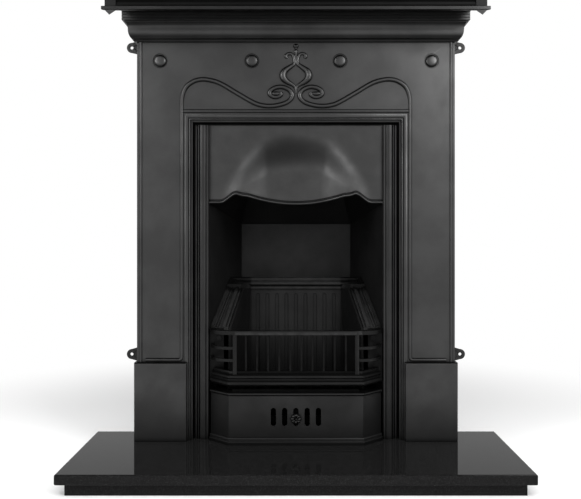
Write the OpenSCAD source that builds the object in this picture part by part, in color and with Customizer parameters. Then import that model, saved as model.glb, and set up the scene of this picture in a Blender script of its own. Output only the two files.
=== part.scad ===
// Cast iron fireplace with a canopy hood, fire basket and ash pan, on a boxed granite hearth.
// Millimetres. +Z is up and the front faces -Y. The origin is at the underside of the hearth,
// on the centre line, in the plane of the wall. Everything with a positive y is behind the wall.

/* [Hearth] */
// Width of the front hearth slab
hearth_w = 1220; // [1180:5:1372]
// Depth of the front hearth slab, from the wall
hearth_d = 381; // [370:1:450]
// Thickness of the granite slabs
slab_t = 27; // [20:1:40]
// Height of the risers under the slab
riser_h = 33; // [25:1:60]
// Distance of the risers in from the slab's edge
riser_in = 20; // [10:1:30]

/* [Surround] */
// Width across the jambs
body_w = 934; // [920:2:960]
// Height of the flat front, from the hearth to the cornice
body_h = 1170; // [1165:1:1200]
// Distance of the flat front from the wall
body_d = 92; // [88:1:100]
// Thickness of the castings
wall_t = 6; // [5:0.5:8]
// Width of a plinth block
plinth_w = 155; // [150:1:158]
// Height of a plinth block
plinth_h = 230; // [200:1:236]
// How far a plinth block stands in front of the jamb
plinth_proud = 11; // [8:1:14]
// Width across the fixing holes in the lugs
lug_span = 1006; // [1000:2:1030]
// Diameter of the fixing holes
lug_hole_d = 9.5; // [8:0.5:11]

/* [Cornice and shelf] */
// How far the cornice stands out at the top
cornice_out = 36.3; // [34:0.1:40]
// Width of the mantel shelf
shelf_w = 1067; // [1060:1:1090]
// Depth of the mantel shelf, from the wall
shelf_d = 231; // [220:1:240]

/* [Opening] */
// Width of the clear opening between the reeded strips
opening_w = 516; // [510:1:520]
// Height of the hood's top edge above the hearth
hood_top = 928; // [922:1:930]
// Height of the hood's lip above the hearth, at the centre
lip_z = 689.4; // [680:0.1:705]
// How far the canopy bulges out of the hood plate
canopy_out = 42; // [38:1:70]

/* [Fire] */
// Depth of the firebox behind the wall
firebox_d = 232; // [225:1:250]
// Width of the fireback
fireback_w = 370; // [360:1:376]
// Height of the bottom grate above the hearth
grate_z = 155; // [152:1:160]
// Height of the top rail of the front bars above the hearth
rail_z = 327; // [320:1:335]
// Spacing of the front bars
bar_pitch = 32; // [31:0.5:32.5]

/* [Ash cover and pan] */
// Height of the ash cover
cover_h = 150; // [148:1:151]
// Width of one air slot
slot_w = 15; // [12:0.5:16]
// Height of one air slot
slot_h = 52; // [50:1:56]
// Spacing of the air slots
slot_pitch = 32.4; // [30:0.1:34]
// Diameter of the rosette knob
knob_d = 32; // [28:1:34]
// Width of the ash pan
pan_w = 330; // [300:1:340]
// Height of the ash pan
pan_h = 78; // [60:1:85]

/* [Hidden] */
$fn = 64;
eps = 0.01;
hearth_h = slab_t + riser_h;
half_body = body_w / 2;
plinth_side = 7;
half_open = opening_w / 2;
iron = [0.16, 0.16, 0.17];
granite = [0.10, 0.10, 0.11];
stone = [0.55, 0.55, 0.53];
steel = [0.45, 0.45, 0.47];

// Cornice and shelf levels above the hearth
cornice_top = body_h + 81;
shelf_t = 8;
shelf_top = cornice_top + shelf_t;

// The moulding round the opening is measured inwards from this line, the centre of its bead
bead_line_x = half_open + 77.7;
bead_line_z = hood_top + 39.5;
bead_w = 9.6;
frame_inner = 31;
// Plane where the surround's inner return meets the opening frame's flange
flange_d = 50;
flange_t = 6;
strip_back_d = 62;

// Firebox plan
cheek_front_d = 62;
half_back = fireback_w / 2;

// Half the distance between the splayed cheeks' inner faces at a depth y
function cheek_x(y) =
    half_open - (y + cheek_front_d) * (half_open - half_back) / (firebox_d + cheek_front_d);

// Hood plate
hood_plate_d = 70;

// Ash cover plan: the front corner and the rear end of one splayed side
cover_front_d = 134;
cover_half_front = 193.5;
cover_half_rear = 251;
cover_rear_d = 84;
cover_t = 5;
slot_z = 80;

// Front bars plan
bars_front_d = 136;
post_x = bar_pitch * 5.5;
wing_r = 60;
wing_x = 188;
saddle_x = 228;
saddle_z = 298;
peg_r = 4;
run_gap = 0.3;

// Air slide behind the cover
slide_t = 2.5;
slide_w = 176;
slide_h = 78;
slide_gap = 0.3;
shank_r = 3.9;
knob_z = slot_z - 5;

// Damper in the flue collar
collar_half = 126;
collar_d0 = -48;
collar_d1 = -142;
collar_z = 880;
collar_h = 50;
collar_t = 6;
damper_pin_r = 5;
pin_fit = 0.05;
damper_z = collar_z + 30;
damper_y = -(collar_d0 + collar_d1) / 2;

// ---- Shared forms -------------------------------------------------------------------------

// Moves a piece from hearth level up to its place above the floor
module on_hearth() {
    translate([0, 0, hearth_h]) children();
}

// A piece and its mirror image on the other side of the centre line
module both_sides() {
    children();
    mirror([1, 0, 0]) children();
}

// Unit direction from one plan point to another, and its left-hand normal
function unit(a, b) = (b - a) / norm(b - a);
function left_of(u) = [-u[1], u[0]];

// Direction in which point i of a path moves when the path is offset by one unit to its left
function mitre(path, i) =
    let(last = len(path) - 1,
        n0 = left_of(unit(path[max(i - 1, 0)], path[max(i, 1)])),
        n1 = left_of(unit(path[min(i, last - 1)], path[min(i + 1, last)])))
    (n0 + n1) / (1 + n0 * n1);

// A moulding run along a plan path with mitred corners. The profile's first coordinate is the
// distance to the left of the path, from -inner to outer, and its second is the height.
module mitred_run(path, profile, inner, outer, reach = 2000) {
    for (i = [0:len(path) - 2]) {
        a = path[i];
        b = path[i + 1];
        u = unit(a, b);
        n = left_of(u);
        intersection() {
            translate([a[0] - u[0] * 90, a[1] - u[1] * 90, 0])
                rotate([0, 0, atan2(n[1], n[0])])
                    rotate([90, 0, 0])
                        linear_extrude(height = norm(b - a) + 180) polygon(profile);
            translate([0, 0, -reach / 2])
                linear_extrude(height = reach)
                    polygon([
                        a + mitre(path, i) * outer, b + mitre(path, i + 1) * outer,
                        b - mitre(path, i + 1) * inner, a - mitre(path, i) * inner
                    ]);
        }
    }
}

// The same run drawn on the front, so that path points are [x, z] and profiles [inwards, depth]
module face_run(path, profile, inner, outer) {
    rotate([90, 0, 0]) mitred_run(path, profile, inner, outer);
}

// Points of an arc in the plane, from one angle to another
function arc(centre, r, a0, a1, steps = 6) =
    [for (i = [0:steps]) centre + r * [cos(a0 + (a1 - a0) * i / steps), sin(a0 + (a1 - a0) * i / steps)]];

// A smooth curve through a list of points
function curve_point(p, i, t) =
    let(last = len(p) - 1, p0 = p[max(i - 1, 0)], p1 = p[i], p2 = p[i + 1], p3 = p[min(i + 2, last)])
    0.5 * (2 * p1 + (p2 - p0) * t + (2 * p0 - 5 * p1 + 4 * p2 - p3) * t * t
        + (3 * p1 - p0 - 3 * p2 + p3) * t * t * t);
function curve(p, steps) =
    concat([for (i = [0:len(p) - 2], s = [0:steps - 1]) curve_point(p, i, s / steps)], [p[len(p) - 1]]);

// Direction of a curve at point i
function heading(p, i) = unit(p[max(i - 1, 0)], p[min(i + 1, len(p) - 1)]);

// A raised bead with a round top along a curve on the front face. The curve's points are [x, z],
// widths holds one width for each point, and the flat back lies at distance d from the wall.
module relief_bead(p, widths, rise, d, sides = 6) {
    n = len(p);
    m = sides + 1;
    ring = [
        for (i = [0:n - 1], k = [0:sides])
            let(h = left_of(heading(p, i)), a = 180 * k / sides, q = p[i] + h * cos(a) * widths[i] / 2)
            [q[0], -d - sin(a) * rise * widths[i] / 2, q[1]]
    ];
    walls = [
        for (i = [0:n - 2], k = [0:sides])
            let(a = i * m + k, b = i * m + (k + 1) % m, c = b + m, e = a + m)
            [a, b, c, e]
    ];
    polyhedron(ring, concat(walls, [[for (k = [sides:-1:0]) k]], [[for (k = [0:sides]) (n - 1) * m + k]]));
}

// A hexagon-headed bolt along +Y: the head's outer face is at y = 0 and the shank runs to +Y
module hex_bolt(shank_d, shank_len, head_w = 13, head_t = 5) {
    rotate([-90, 0, 0]) {
        cylinder(h = head_t, d = head_w, $fn = 6);
        cylinder(h = head_t + shank_len, d = shank_d);
    }
}

// ---- Hearth -------------------------------------------------------------------------------

arris = 2;

module hearth_slab() {
    color(granite)
        intersection() {
            // Front edge with its two arrises
            rotate([90, 0, 90])
                translate([0, 0, -hearth_w / 2])
                    linear_extrude(height = hearth_w)
                        polygon([
                            [0, riser_h], [0, hearth_h], [-hearth_d + arris, hearth_h],
                            [-hearth_d, hearth_h - arris], [-hearth_d, riser_h + arris],
                            [-hearth_d + arris, riser_h]
                        ]);
            // Side edges with theirs
            rotate([90, 0, 0])
                linear_extrude(height = hearth_d)
                    polygon([
                        [-hearth_w / 2 + arris, riser_h], [-hearth_w / 2, riser_h + arris],
                        [-hearth_w / 2, hearth_h - arris], [-hearth_w / 2 + arris, hearth_h],
                        [hearth_w / 2 - arris, hearth_h], [hearth_w / 2, hearth_h - arris],
                        [hearth_w / 2, riser_h + arris], [hearth_w / 2 - arris, riser_h]
                    ]);
        }
}

riser_t = 20;
riser_x = hearth_w / 2 - riser_in;
riser_y = -hearth_d + riser_in;

module hearth_riser_front() {
    color(granite)
        translate([-riser_x, riser_y, 0]) cube([2 * riser_x, riser_t, riser_h]);
}

module side_riser() {
    color(granite)
        translate([riser_x - riser_t, riser_y + riser_t, 0]) cube([riser_t, -riser_y - riser_t, riser_h]);
}

module hearth_riser_left() {
    mirror([1, 0, 0]) side_riser();
}

module hearth_riser_right() {
    side_riser();
}

back_hearth_w = 2 * half_open + 60;
back_hearth_d = firebox_d + 30;

// Concrete bed under both slabs
module hearth_bed() {
    bed_x = riser_x - riser_t;
    color(stone)
        linear_extrude(height = riser_h)
            polygon([
                [-bed_x, riser_y + riser_t], [bed_x, riser_y + riser_t], [bed_x, 0],
                [back_hearth_w / 2, 0], [back_hearth_w / 2, back_hearth_d],
                [-back_hearth_w / 2, back_hearth_d], [-back_hearth_w / 2, 0], [-bed_x, 0]
            ]);
}

module back_hearth() {
    color(granite)
        translate([-back_hearth_w / 2, 0, riser_h]) cube([back_hearth_w, back_hearth_d, slab_t]);
}

// ---- Surround -----------------------------------------------------------------------------

// The frieze ornament is drawn for this band, from the top bead's centre to the top of the front
drawn_low = 967.5;
drawn_high = 1170;

// Height above the hearth of a point at height z in the drawing of the frieze
function frieze_z(z) =
    bead_line_z + (z - drawn_low) * (body_h - bead_line_z) / (drawn_high - drawn_low);

boss_x = [129.5, 399];
boss_z = frieze_z(1115);
boss_d = 37;
boss_rise = 7;
lug_z = [238, 1177];
lug_t = 5;
frame_bolt_z = [150, 500, 850];
frame_bolt_x = half_open + 62;
bolt_d = 8;
bolt_fit = 0.1;
edge_bead_r = 4;
edge_bead_x = half_body - 11;
seat_gap = 0.2;

// The moulding round the opening, from the bead line inwards: raised band, quirk, small bead,
// quirk and fillet, then a return to the flange plane
function opening_profile() = concat(
    [[9, body_d - wall_t], [9, body_d], [9.5, body_d + 1.4]],
    arc([14.2, body_d - 10], 12.9, 112, 68, 4),
    [[19, body_d + 1.4], [19.4, body_d - 2.5], [21.6, body_d - 2.5]],
    arc([23.6, body_d - 0.6], 2, 180, 0, 6),
    [[25.8, body_d - 4], [28, body_d - 4], [28.4, body_d - 6], [frame_inner, body_d - 6.6]],
    [[frame_inner, flange_d], [frame_inner - wall_t, flange_d], [frame_inner - wall_t, body_d - 11]],
    [[17, body_d - 8.5], [9, body_d - 8.5]]
);

opening_path = [
    [bead_line_x, 0], [bead_line_x, bead_line_z], [-bead_line_x, bead_line_z], [-bead_line_x, 0]
];

module surround_casting() {
    plate_x = bead_line_x - 9;
    plate_z = bead_line_z - 9;
    color(iron)
        on_hearth() {
            difference() {
                union() {
                    // Flat front with the opening cut out
                    rotate([90, 0, 0])
                        translate([0, 0, body_d - wall_t])
                            linear_extrude(height = wall_t)
                                polygon([
                                    [-half_body, 0], [-half_body, body_h], [half_body, body_h],
                                    [half_body, 0], [plate_x, 0], [plate_x, plate_z],
                                    [-plate_x, plate_z], [-plate_x, 0]
                                ]);
                    // Side returns to the wall
                    both_sides()
                        translate([half_body - wall_t, -body_d + wall_t, 0])
                            cube([wall_t, body_d - wall_t, body_h]);
                    face_run(opening_path, opening_profile(), 0, frame_inner + 1);
                    // Slender bead down each outer edge
                    both_sides()
                        translate([edge_bead_x, -body_d, plinth_h])
                            cylinder(h = body_h - plinth_h, r = edge_bead_r);
                    // Fixing pads behind the front for the opening frame
                    both_sides()
                        for (z = frame_bolt_z)
                            translate([frame_bolt_x, -body_d + wall_t, z])
                                rotate([-90, 0, 0]) cylinder(h = body_d - wall_t - flange_d, d = 20);
                }
                // Seats of the plinth blocks, beside which the raised band is narrower
                both_sides()
                    translate([half_body + plinth_side - plinth_w - seat_gap, -body_d - 20, -1])
                        cube([plinth_w, 20, plinth_h + seat_gap + 1]);
                // Ring hollows round the frieze bosses
                both_sides()
                    for (x = boss_x)
                        translate([x, -body_d - eps, boss_z])
                            rotate([-90, 0, 0])
                                difference() {
                                    cylinder(h = 2, d = boss_d + 7);
                                    translate([0, 0, -1]) cylinder(h = 4, d = boss_d);
                                }
                // Blind holes for the frame bolts
                both_sides()
                    for (z = frame_bolt_z)
                        translate([frame_bolt_x, -flange_d + eps, z])
                            rotate([90, 0, 0]) cylinder(h = 22, d = bolt_d + 2 * bolt_fit);
            }
        }
}

// One plinth block: a hollow corner casting that wraps the foot of the jamb
module plinth_block() {
    outer_x = half_body + plinth_side;
    inner_x = outer_x - plinth_w;
    front = body_d + plinth_proud;
    ease = 3;
    color(iron)
        on_hearth() {
            // Front slab with eased top and side edges
            intersection() {
                translate([inner_x, -front, 0]) cube([plinth_w, plinth_proud, plinth_h]);
                rotate([90, 0, 90])
                    translate([0, 0, inner_x - 1])
                        linear_extrude(height = plinth_w + 2)
                            polygon([
                                [-front, 0], [-body_d, 0], [-body_d, plinth_h],
                                [-front + ease, plinth_h], [-front, plinth_h - ease]
                            ]);
                translate([0, 0, -1])
                    linear_extrude(height = plinth_h + 2)
                        polygon([
                            [inner_x, -body_d], [inner_x, -front + ease], [inner_x + ease, -front],
                            [outer_x - ease, -front], [outer_x, -front + ease], [outer_x, -body_d]
                        ]);
            }
            // Side slab back to the wall
            translate([half_body, -body_d, 0]) cube([plinth_side, body_d, plinth_h]);
        }
}

module plinth_left() {
    mirror([1, 0, 0]) plinth_block();
}

module plinth_right() {
    plinth_block();
}

// ---- Frieze ornament ----------------------------------------------------------------------

// Centre line of the long bead on the left: the foot turns in from the jamb, the stem climbs
// beside the opening, and the whiplash runs over to a scroll beside the centre
foot_x = -441;
foot_z = 237;
foot_bend = 7;
scroll_curve = [
    [-335.7, 985], [-334.7, 1005.7], [-326.2, 1032.4], [-311.5, 1048.3], [-289.5, 1058.6],
    [-262, 1060], [-223.7, 1049.5], [-175.2, 1021.3], [-126.4, 993.4], [-102, 984.8],
    [-77.6, 982.3], [-53.2, 984.8], [-28.9, 992.2], [-15, 1003], [-10.8, 1015], [-18, 1028],
    [-32, 1036], [-46, 1038.5], [-61, 1036], [-73, 1029], [-77.4, 1020.5], [-73, 1013],
    [-62, 1008.8], [-50.5, 1010.6], [-45, 1016.5], [-51, 1022], [-62, 1022.6]
];

function scroll_path() = concat(
    [[foot_x, foot_z]],
    arc([-bead_line_x - foot_bend, foot_z + foot_bend], foot_bend, 270, 360, 5),
    [[-bead_line_x, 600]],
    [for (p = curve(scroll_curve, 4)) [p[0], frieze_z(p[1])]]
);

// The bead is fullest over the shoulder and thins through the last turn of the scroll
function scroll_width(i, n) =
    let(t = i / n)
    i < 8 ? bead_w : t < 0.62 ? bead_w + 0.8 : bead_w + 0.8 - 3.6 * (t - 0.62) / 0.38;

module scroll_bead() {
    p = scroll_path();
    n = len(p) - 1;
    color(iron)
        on_hearth() {
            relief_bead(p, [for (i = [0:n]) scroll_width(i, n)], 0.85, body_d);
            // Rounded foot end
            translate([foot_x, -body_d, foot_z])
                intersection() {
                    sphere(d = bead_w, $fn = 32);
                    translate([-20, -20, -20]) cube([20, 20, 40]);
                }
        }
}

module scroll_bead_left() {
    scroll_bead();
}

module scroll_bead_right() {
    mirror([1, 0, 0]) scroll_bead();
}

// Straight bead across the top of the opening, between the two stems
module top_bead() {
    half = bead_line_x - bead_w / 2 - seat_gap;
    relief_bead([for (x = [-half, 0, half]) [x, bead_line_z]], [bead_w, bead_w, bead_w], 0.8, body_d);
}

// Central motif: one strand each side curls over at the top as a leaf, drops through the neck,
// swells round the bulb and tapers into the spike below it. A budded finial stands on the neck.
strand_curve = [
    [-29.5, 1121], [-31, 1127.5], [-26, 1133.5], [-16.5, 1134.5], [-7.5, 1128], [-2.4, 1118],
    [-2.4, 1108], [-9, 1100.5], [-20.5, 1092], [-34, 1082], [-37.6, 1072], [-32, 1060],
    [-18, 1051.5], [-6.5, 1044], [-2, 1033], [-0.8, 1019]
];
finial_z = [1119, 1127, 1136, 1142.5, 1149, 1153, 1157, 1161, 1166];
finial_w = [5, 5, 6.5, 11, 6.5, 8, 15, 13, 2];

// Width of the strand a share t of the way along it: leaf, bulb, spike
function strand_width(t) =
    t < 0.42 ? 6.4 - 2.6 * t
    : t < 0.9 ? 5.3 + 10 * pow(sin(180 * (t - 0.42) / 0.5), 1.5)
    : 5.3 - 35 * (t - 0.9);

module frieze_motif() {
    strand = [for (p = curve(strand_curve, 4)) [p[0], frieze_z(p[1])]];
    n = len(strand) - 1;
    color(iron)
        on_hearth() {
            both_sides()
                relief_bead(strand, [for (i = [0:n]) strand_width(i / n)], 0.8, body_d);
            relief_bead([for (z = finial_z) [0, frieze_z(z)]], finial_w, 0.75, body_d);
            top_bead();
        }
}

module frieze_bosses() {
    cap_r = (boss_d * boss_d / 4 + boss_rise * boss_rise) / (2 * boss_rise);
    color(iron)
        on_hearth()
            both_sides()
                for (x = boss_x)
                    translate([x, -body_d, boss_z])
                        rotate([90, 0, 0])
                            intersection() {
                                translate([0, 0, boss_rise - cap_r]) sphere(r = cap_r);
                                cylinder(h = boss_rise + 1, d = boss_d - 1);
                            }
}

// ---- Cornice and shelf --------------------------------------------------------------------

shelf_bolt_x = [150, 430];
shelf_bolt_d = 74;

// Cornice section: the first coordinate is the distance out from the body
function cornice_outer() = concat(
    [[5.9, 0], [8.5, 5.5]],
    [for (t = [15:15:90]) [8.5 + 13.5 * sin(t), 5.5 + 26.5 * (1 - cos(t))]],
    [for (t = [15:15:75]) [22 + 8 * (1 - cos(t)), 32 + 18 * sin(t)]],
    [[30, 51], [30, 54.6], [cornice_out, 54.6], [cornice_out, 61], [cornice_out - 1.2, 61.6],
        [cornice_out, 62.2], [cornice_out, 69.6], [cornice_out - 1.2, 70.2], [cornice_out, 70.8],
        [cornice_out, 81]]
);

function cornice_inner() = [
    [-30, 81], [-30, 75], [cornice_out - 7, 75], [cornice_out - 7, 61], [23, 59], [22, 50],
    [15, 36], [12, 24], [3, 13], [-1, 6], [-wall_t, 6], [-wall_t, 0]
];

cornice_path = [
    [half_body, -lug_t], [half_body, -body_d], [-half_body, -body_d], [-half_body, -lug_t]
];

module cornice() {
    color(iron)
        on_hearth()
            translate([0, 0, body_h])
                difference() {
                    mitred_run(cornice_path, concat(cornice_outer(), cornice_inner()), 31, cornice_out + 1);
                    both_sides()
                        for (x = shelf_bolt_x)
                            translate([x, -shelf_bolt_d, 70]) cylinder(h = 20, d = bolt_d + 2 * bolt_fit);
                }
}

// Shelf edge section: the first coordinate is negative, the distance in from the lip's front
function shelf_edge() = [
    [0, 1.5], [0, 9.5], [-1.2, 10.6], [-5, 11], [-8, 13.5], [-10, 18], [-11, 22.5], [-13, 27],
    [-16.5, 31], [-20, 34.5], [-20.6, 38.3], [-45, 38.3], [-45, 30.3], [-26, 30.3], [-20, 24],
    [-18, 18], [-9, 12], [-9, 0], [-1.5, 0]
];

horn_len = 45;
horn_in = 10.5;
neck_x = 505;

// Plan of the shelf plate, which steps in behind the two horns
function shelf_plan() =
    let(front = -shelf_d + 22, side = shelf_w / 2 - 21, tip = -shelf_d + horn_len)
    concat(
        [[side, front], [side - horn_in / 2, tip]],
        [for (t = [15:15:90])
            [neck_x + (side - horn_in / 2 - neck_x) * (1 - sin(t)), tip + 30 * (1 - cos(t))]],
        [[neck_x, 0]]
    );

module mantel_shelf() {
    base_z = shelf_top - 38.3;
    right = shelf_plan();
    half = shelf_w / 2;
    tip_d = shelf_d - horn_len;
    path = [
        [half - horn_in, -tip_d], [half, -shelf_d], [-half, -shelf_d], [-half + horn_in, -tip_d]
    ];
    color(iron)
        on_hearth()
            difference() {
                union() {
                    translate([0, 0, base_z]) {
                        mitred_run(path, shelf_edge(), 46, 1);
                        // Solid horns under the two front corners
                        both_sides()
                            linear_extrude(height = 31)
                                polygon([
                                    [half - 9, -shelf_d + 3], [half - horn_in, -tip_d],
                                    [half - 38, -shelf_d + 8]
                                ]);
                    }
                    translate([0, 0, shelf_top - shelf_t])
                        linear_extrude(height = shelf_t)
                            polygon(concat(
                                right,
                                [for (i = [len(right) - 1:-1:0]) [-right[i][0], right[i][1]]]
                            ));
                }
                both_sides()
                    for (x = shelf_bolt_x)
                        translate([x, -shelf_bolt_d, shelf_top - shelf_t - eps])
                            cylinder(h = 5, d = bolt_d + 2 * bolt_fit);
            }
}

// Bolts up through the cornice's inner flange into the shelf
module shelf_bolts() {
    color(steel)
        on_hearth()
            both_sides()
                for (x = shelf_bolt_x)
                    translate([x, -shelf_bolt_d, body_h + 75 - 5])
                        rotate([90, 0, 0]) hex_bolt(bolt_d, 10.5);
}

// One ear at the wall for a fixing screw, which reaches out from a face at root_x
module lug(z, root_x) {
    tip_r = 15.5;
    root_half = 24;
    hole_x = lug_span / 2;
    translate([0, 0, z])
        rotate([90, 0, 0])
            difference() {
                union() {
                    translate([hole_x, 0, 0]) cylinder(h = lug_t, r = tip_r);
                    linear_extrude(height = lug_t)
                        polygon([
                            [root_x, -root_half], [hole_x, -tip_r], [hole_x, tip_r],
                            [root_x, root_half]
                        ]);
                }
                translate([hole_x, 0, -1]) cylinder(h = lug_t + 2, d = lug_hole_d);
            }
}

module fixing_lugs() {
    color(iron)
        on_hearth()
            both_sides() {
                lug(lug_z[0], half_body + plinth_side);
                lug(lug_z[1], half_body);
            }
}

// ---- Opening frame and hood ---------------------------------------------------------------

// Reeded strip beside the opening, from its outer edge inwards: step, quirk, bead, quirk,
// broad flat bead, quirk and fillet
function strip_profile() = concat(
    [[38, strip_back_d], [38, 74], [42.2, 74], [42.6, 66], [45.4, 66]],
    arc([47.6, 75.5], 2, 180, 0, 6),
    [[49.8, 70], [52, 70], [52.4, 80]],
    arc([60.5, 64], 18.2, 116, 64, 6),
    [[68.7, 80], [69, 75.5], [70.8, 75.5], [71.2, 79.5], [76, 79.5], [76.4, 76]],
    [[77.7, 76], [77.7, strip_back_d]]
);

module opening_frame() {
    outer_x = frame_bolt_x + 14;
    web_x = half_open + 40;
    color(iron)
        on_hearth()
            difference() {
                union() {
                    // Reeded strips
                    both_sides()
                        linear_extrude(height = hood_top)
                            polygon([for (q = strip_profile()) [bead_line_x - q[0], -q[1]]]);
                    // Web and bolting flange behind the surround
                    both_sides() {
                        translate([web_x - wall_t, -strip_back_d, 0])
                            cube([wall_t, strip_back_d - flange_d + flange_t, hood_top]);
                        translate([web_x - eps, -flange_d, 0])
                            cube([outer_x - web_x, flange_t, bead_line_z]);
                    }
                    // Head of the flange over the hood
                    translate([-web_x - 1, -flange_d, hood_top - 20])
                        cube([2 * web_x + 2, flange_t, bead_line_z - hood_top + 20]);
                }
                both_sides()
                    for (z = frame_bolt_z)
                        translate([frame_bolt_x, -flange_d - 1, z])
                            rotate([-90, 0, 0]) cylinder(h = flange_t + 2, d = bolt_d + 2 * bolt_fit);
            }
}

// Bolts from behind through the frame's flange into the surround's pads
module frame_bolts() {
    color(steel)
        on_hearth()
            both_sides()
                for (z = frame_bolt_z)
                    translate([frame_bolt_x, -flange_d + flange_t + 5, z])
                        rotate([0, 0, 180]) hex_bolt(bolt_d, flange_t + 16);
}

// Height of the hood's lip above the hearth at a distance x from the centre line: a low middle,
// a peak each side, and a level tail at the strips
peak_x = 175;
peak_rise = 37.6;
tail_x = 225;
tail_rise = 6.5;
function smooth(t) = let(s = max(0, min(1, t))) s * s * (3 - 2 * s);
function lip_height(x) =
    let(a = abs(x))
    a < peak_x ? lip_z + peak_rise * pow(a / peak_x, 2)
        - 5.5 * pow(sin(180 * smooth((a - 110) / (peak_x - 110)) / 2), 6)
    : lip_z + tail_rise + (peak_rise - 5.5 - tail_rise) * (1 - smooth((a - peak_x) / (tail_x - peak_x)));

// How far the canopy stands out of the hood plate at a point [x, z]: it swells below its brow,
// then drops sheer to the lip, and each flank fades from its flat middle into the plate
brow_z = hood_top - 16;
brow_arch = 20;
swell_h = 125;
function canopy_half(z) = 160 + 66 * smooth((brow_z - 45 - z) / 135);
function canopy_flat(z) = 0.52 - 0.22 * smooth((brow_z - 45 - z) / 135);
function canopy(x, z) =
    let(w = canopy_half(z), f = canopy_flat(z))
    canopy_out * smooth((brow_z - brow_arch * pow(x / 100, 2) - z) / swell_h)
        * (1 - smooth((abs(x) / w - f) / (1 - f)));

// Rows down the hood: [share of the plate's height, or 1 in the rim; rise of the surface;
// height over the lip in the rim], ending in a quirk and the round lip bead
hood_rows = concat(
    [for (v = [0:0.05:0.951]) [v, 0, 0]],
    [[1, -1.6, 11.5], [1, -1.2, 9.5], [1, 2.6, 8.4], [1, 4.2, 5.4], [1, 4, 2.6], [1, 2, 0.4]]
);
rim_h = 13;
hood_cols = 48;
hood_half = half_open - 0.2;
hood_t = 5;

function row_z(x, row) =
    let(lip = lip_height(x))
    row[0] < 1 ? hood_top + (lip + rim_h - hood_top) * row[0] / 0.95 : lip + row[2];
function hood_point(x, row) =
    let(z = row_z(x, row)) [x, -hood_plate_d - canopy(x, z) - row[1], z];
function hood_back(x, row) =
    let(z = row_z(x, row)) [x, -hood_plate_d + hood_t - canopy(x, z), z];

module hood() {
    rows = len(hood_rows);
    cols = hood_cols + 1;
    xs = [for (i = [0:hood_cols]) -hood_half + 2 * hood_half * i / hood_cols];
    front = [for (r = hood_rows, x = xs) hood_point(x, r)];
    back = [for (r = hood_rows, x = xs) hood_back(x, r)];
    n = rows * cols;
    low = n - cols;
    end = cols - 1;
    grid = [for (j = [0:rows - 2], i = [0:cols - 2])
        let(a = j * cols + i) [a, a + 1, a + cols + 1, a + cols]];
    front_faces = [for (q = grid) each [[q[0], q[1], q[2]], [q[0], q[2], q[3]]]];
    back_faces = [for (q = grid)
        each [[n + q[2], n + q[1], n + q[0]], [n + q[3], n + q[2], n + q[0]]]];
    top = [for (i = [0:cols - 2]) each [[i, n + i, n + i + 1], [i, n + i + 1, i + 1]]];
    bottom = [for (i = [low:n - 2]) each [[i, i + 1, n + i + 1], [i, n + i + 1, n + i]]];
    left = [for (i = [0:cols:low - 1])
        each [[i, i + cols, n + i + cols], [i, n + i + cols, n + i]]];
    right = [for (i = [end:cols:low + end - 1])
        each [[i, n + i, n + i + cols], [i, n + i + cols, i + cols]]];
    color(iron)
        on_hearth()
            polyhedron(
                concat(front, back),
                concat(front_faces, back_faces, top, bottom, left, right)
            );
}

// ---- Firebox ------------------------------------------------------------------------------

cheek_bolt_z = [60, 350, 620];
cheek_bolt_x = half_open + 20;
cheek_top = 697;

// One splayed cheek with its bolting flange. Its top edge falls towards the back.
module cheek() {
    back_y = firebox_d;
    color(iron)
        on_hearth()
            difference() {
                intersection() {
                    linear_extrude(height = 700)
                        polygon([
                            [half_open, -cheek_front_d], [half_open + 34, -cheek_front_d],
                            [half_open + 34, -cheek_front_d + wall_t],
                            [half_open + wall_t, -cheek_front_d + wall_t],
                            [half_back + wall_t, back_y], [half_back, back_y]
                        ]);
                    rotate([90, 0, 90])
                        linear_extrude(height = 400)
                            polygon([
                                [-cheek_front_d, 0], [back_y, 0], [back_y, fireback_top],
                                [-cheek_front_d, cheek_top]
                            ]);
                }
                for (z = cheek_bolt_z)
                    translate([cheek_bolt_x, -cheek_front_d - 1, z])
                        rotate([-90, 0, 0]) cylinder(h = wall_t + 2, d = bolt_d + 2 * bolt_fit);
            }
}

module cheek_left() {
    mirror([1, 0, 0]) cheek();
}

module cheek_right() {
    cheek();
}

// Bolts from behind that pin the cheeks' flanges to the frame's strips
module cheek_bolts() {
    color(steel)
        on_hearth()
            both_sides()
                for (z = cheek_bolt_z)
                    translate([cheek_bolt_x, -cheek_front_d + wall_t + 5, z])
                        rotate([0, 0, 180]) hex_bolt(bolt_d, wall_t - 0.5);
}

fireback_top = 640;
fireback_t = 8;

module fireback() {
    color(iron)
        on_hearth()
            translate([-half_back - wall_t, firebox_d, 0])
                cube([2 * half_back + 2 * wall_t, fireback_t, fireback_top]);
}

// Basket corners: [x, y, z] on the inner faces
basket_top_back = [146, 118, 430];
basket_low_back = [159, 112, grate_z - 16];
basket_top_mid = [166, 85, 430];
basket_top_front = [195, -50, 324];
basket_low_front = [198, -50, grate_z - 16];
basket_t = 7;
groove_pitch = 30.8;
groove_w = 13;
groove_d = 3.5;

// Ribbed back of the basket, leaning forward towards the grate
module basket_back() {
    rise = basket_top_back[2] - basket_low_back[2];
    lean = atan((basket_top_back[1] - basket_low_back[1]) / rise);
    len = rise / cos(lean);
    color(iron)
        on_hearth()
            translate([0, basket_low_back[1], basket_low_back[2]])
                rotate([90 - lean, 0, 0])
                    difference() {
                        translate([0, 0, -basket_t])
                            linear_extrude(height = basket_t)
                                polygon([
                                    [-basket_low_back[0] - basket_t, 0],
                                    [basket_low_back[0] + basket_t, 0],
                                    [basket_top_back[0] + basket_t, len],
                                    [-basket_top_back[0] - basket_t, len]
                                ]);
                        for (i = [-4:4])
                            translate([i * groove_pitch, 0, -groove_d]) {
                                translate([0, len - 22, 0]) cylinder(h = 6, d = groove_w);
                                translate([-groove_w / 2, -1, 0]) cube([groove_w, len - 21, 6]);
                            }
                    }
}

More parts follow.
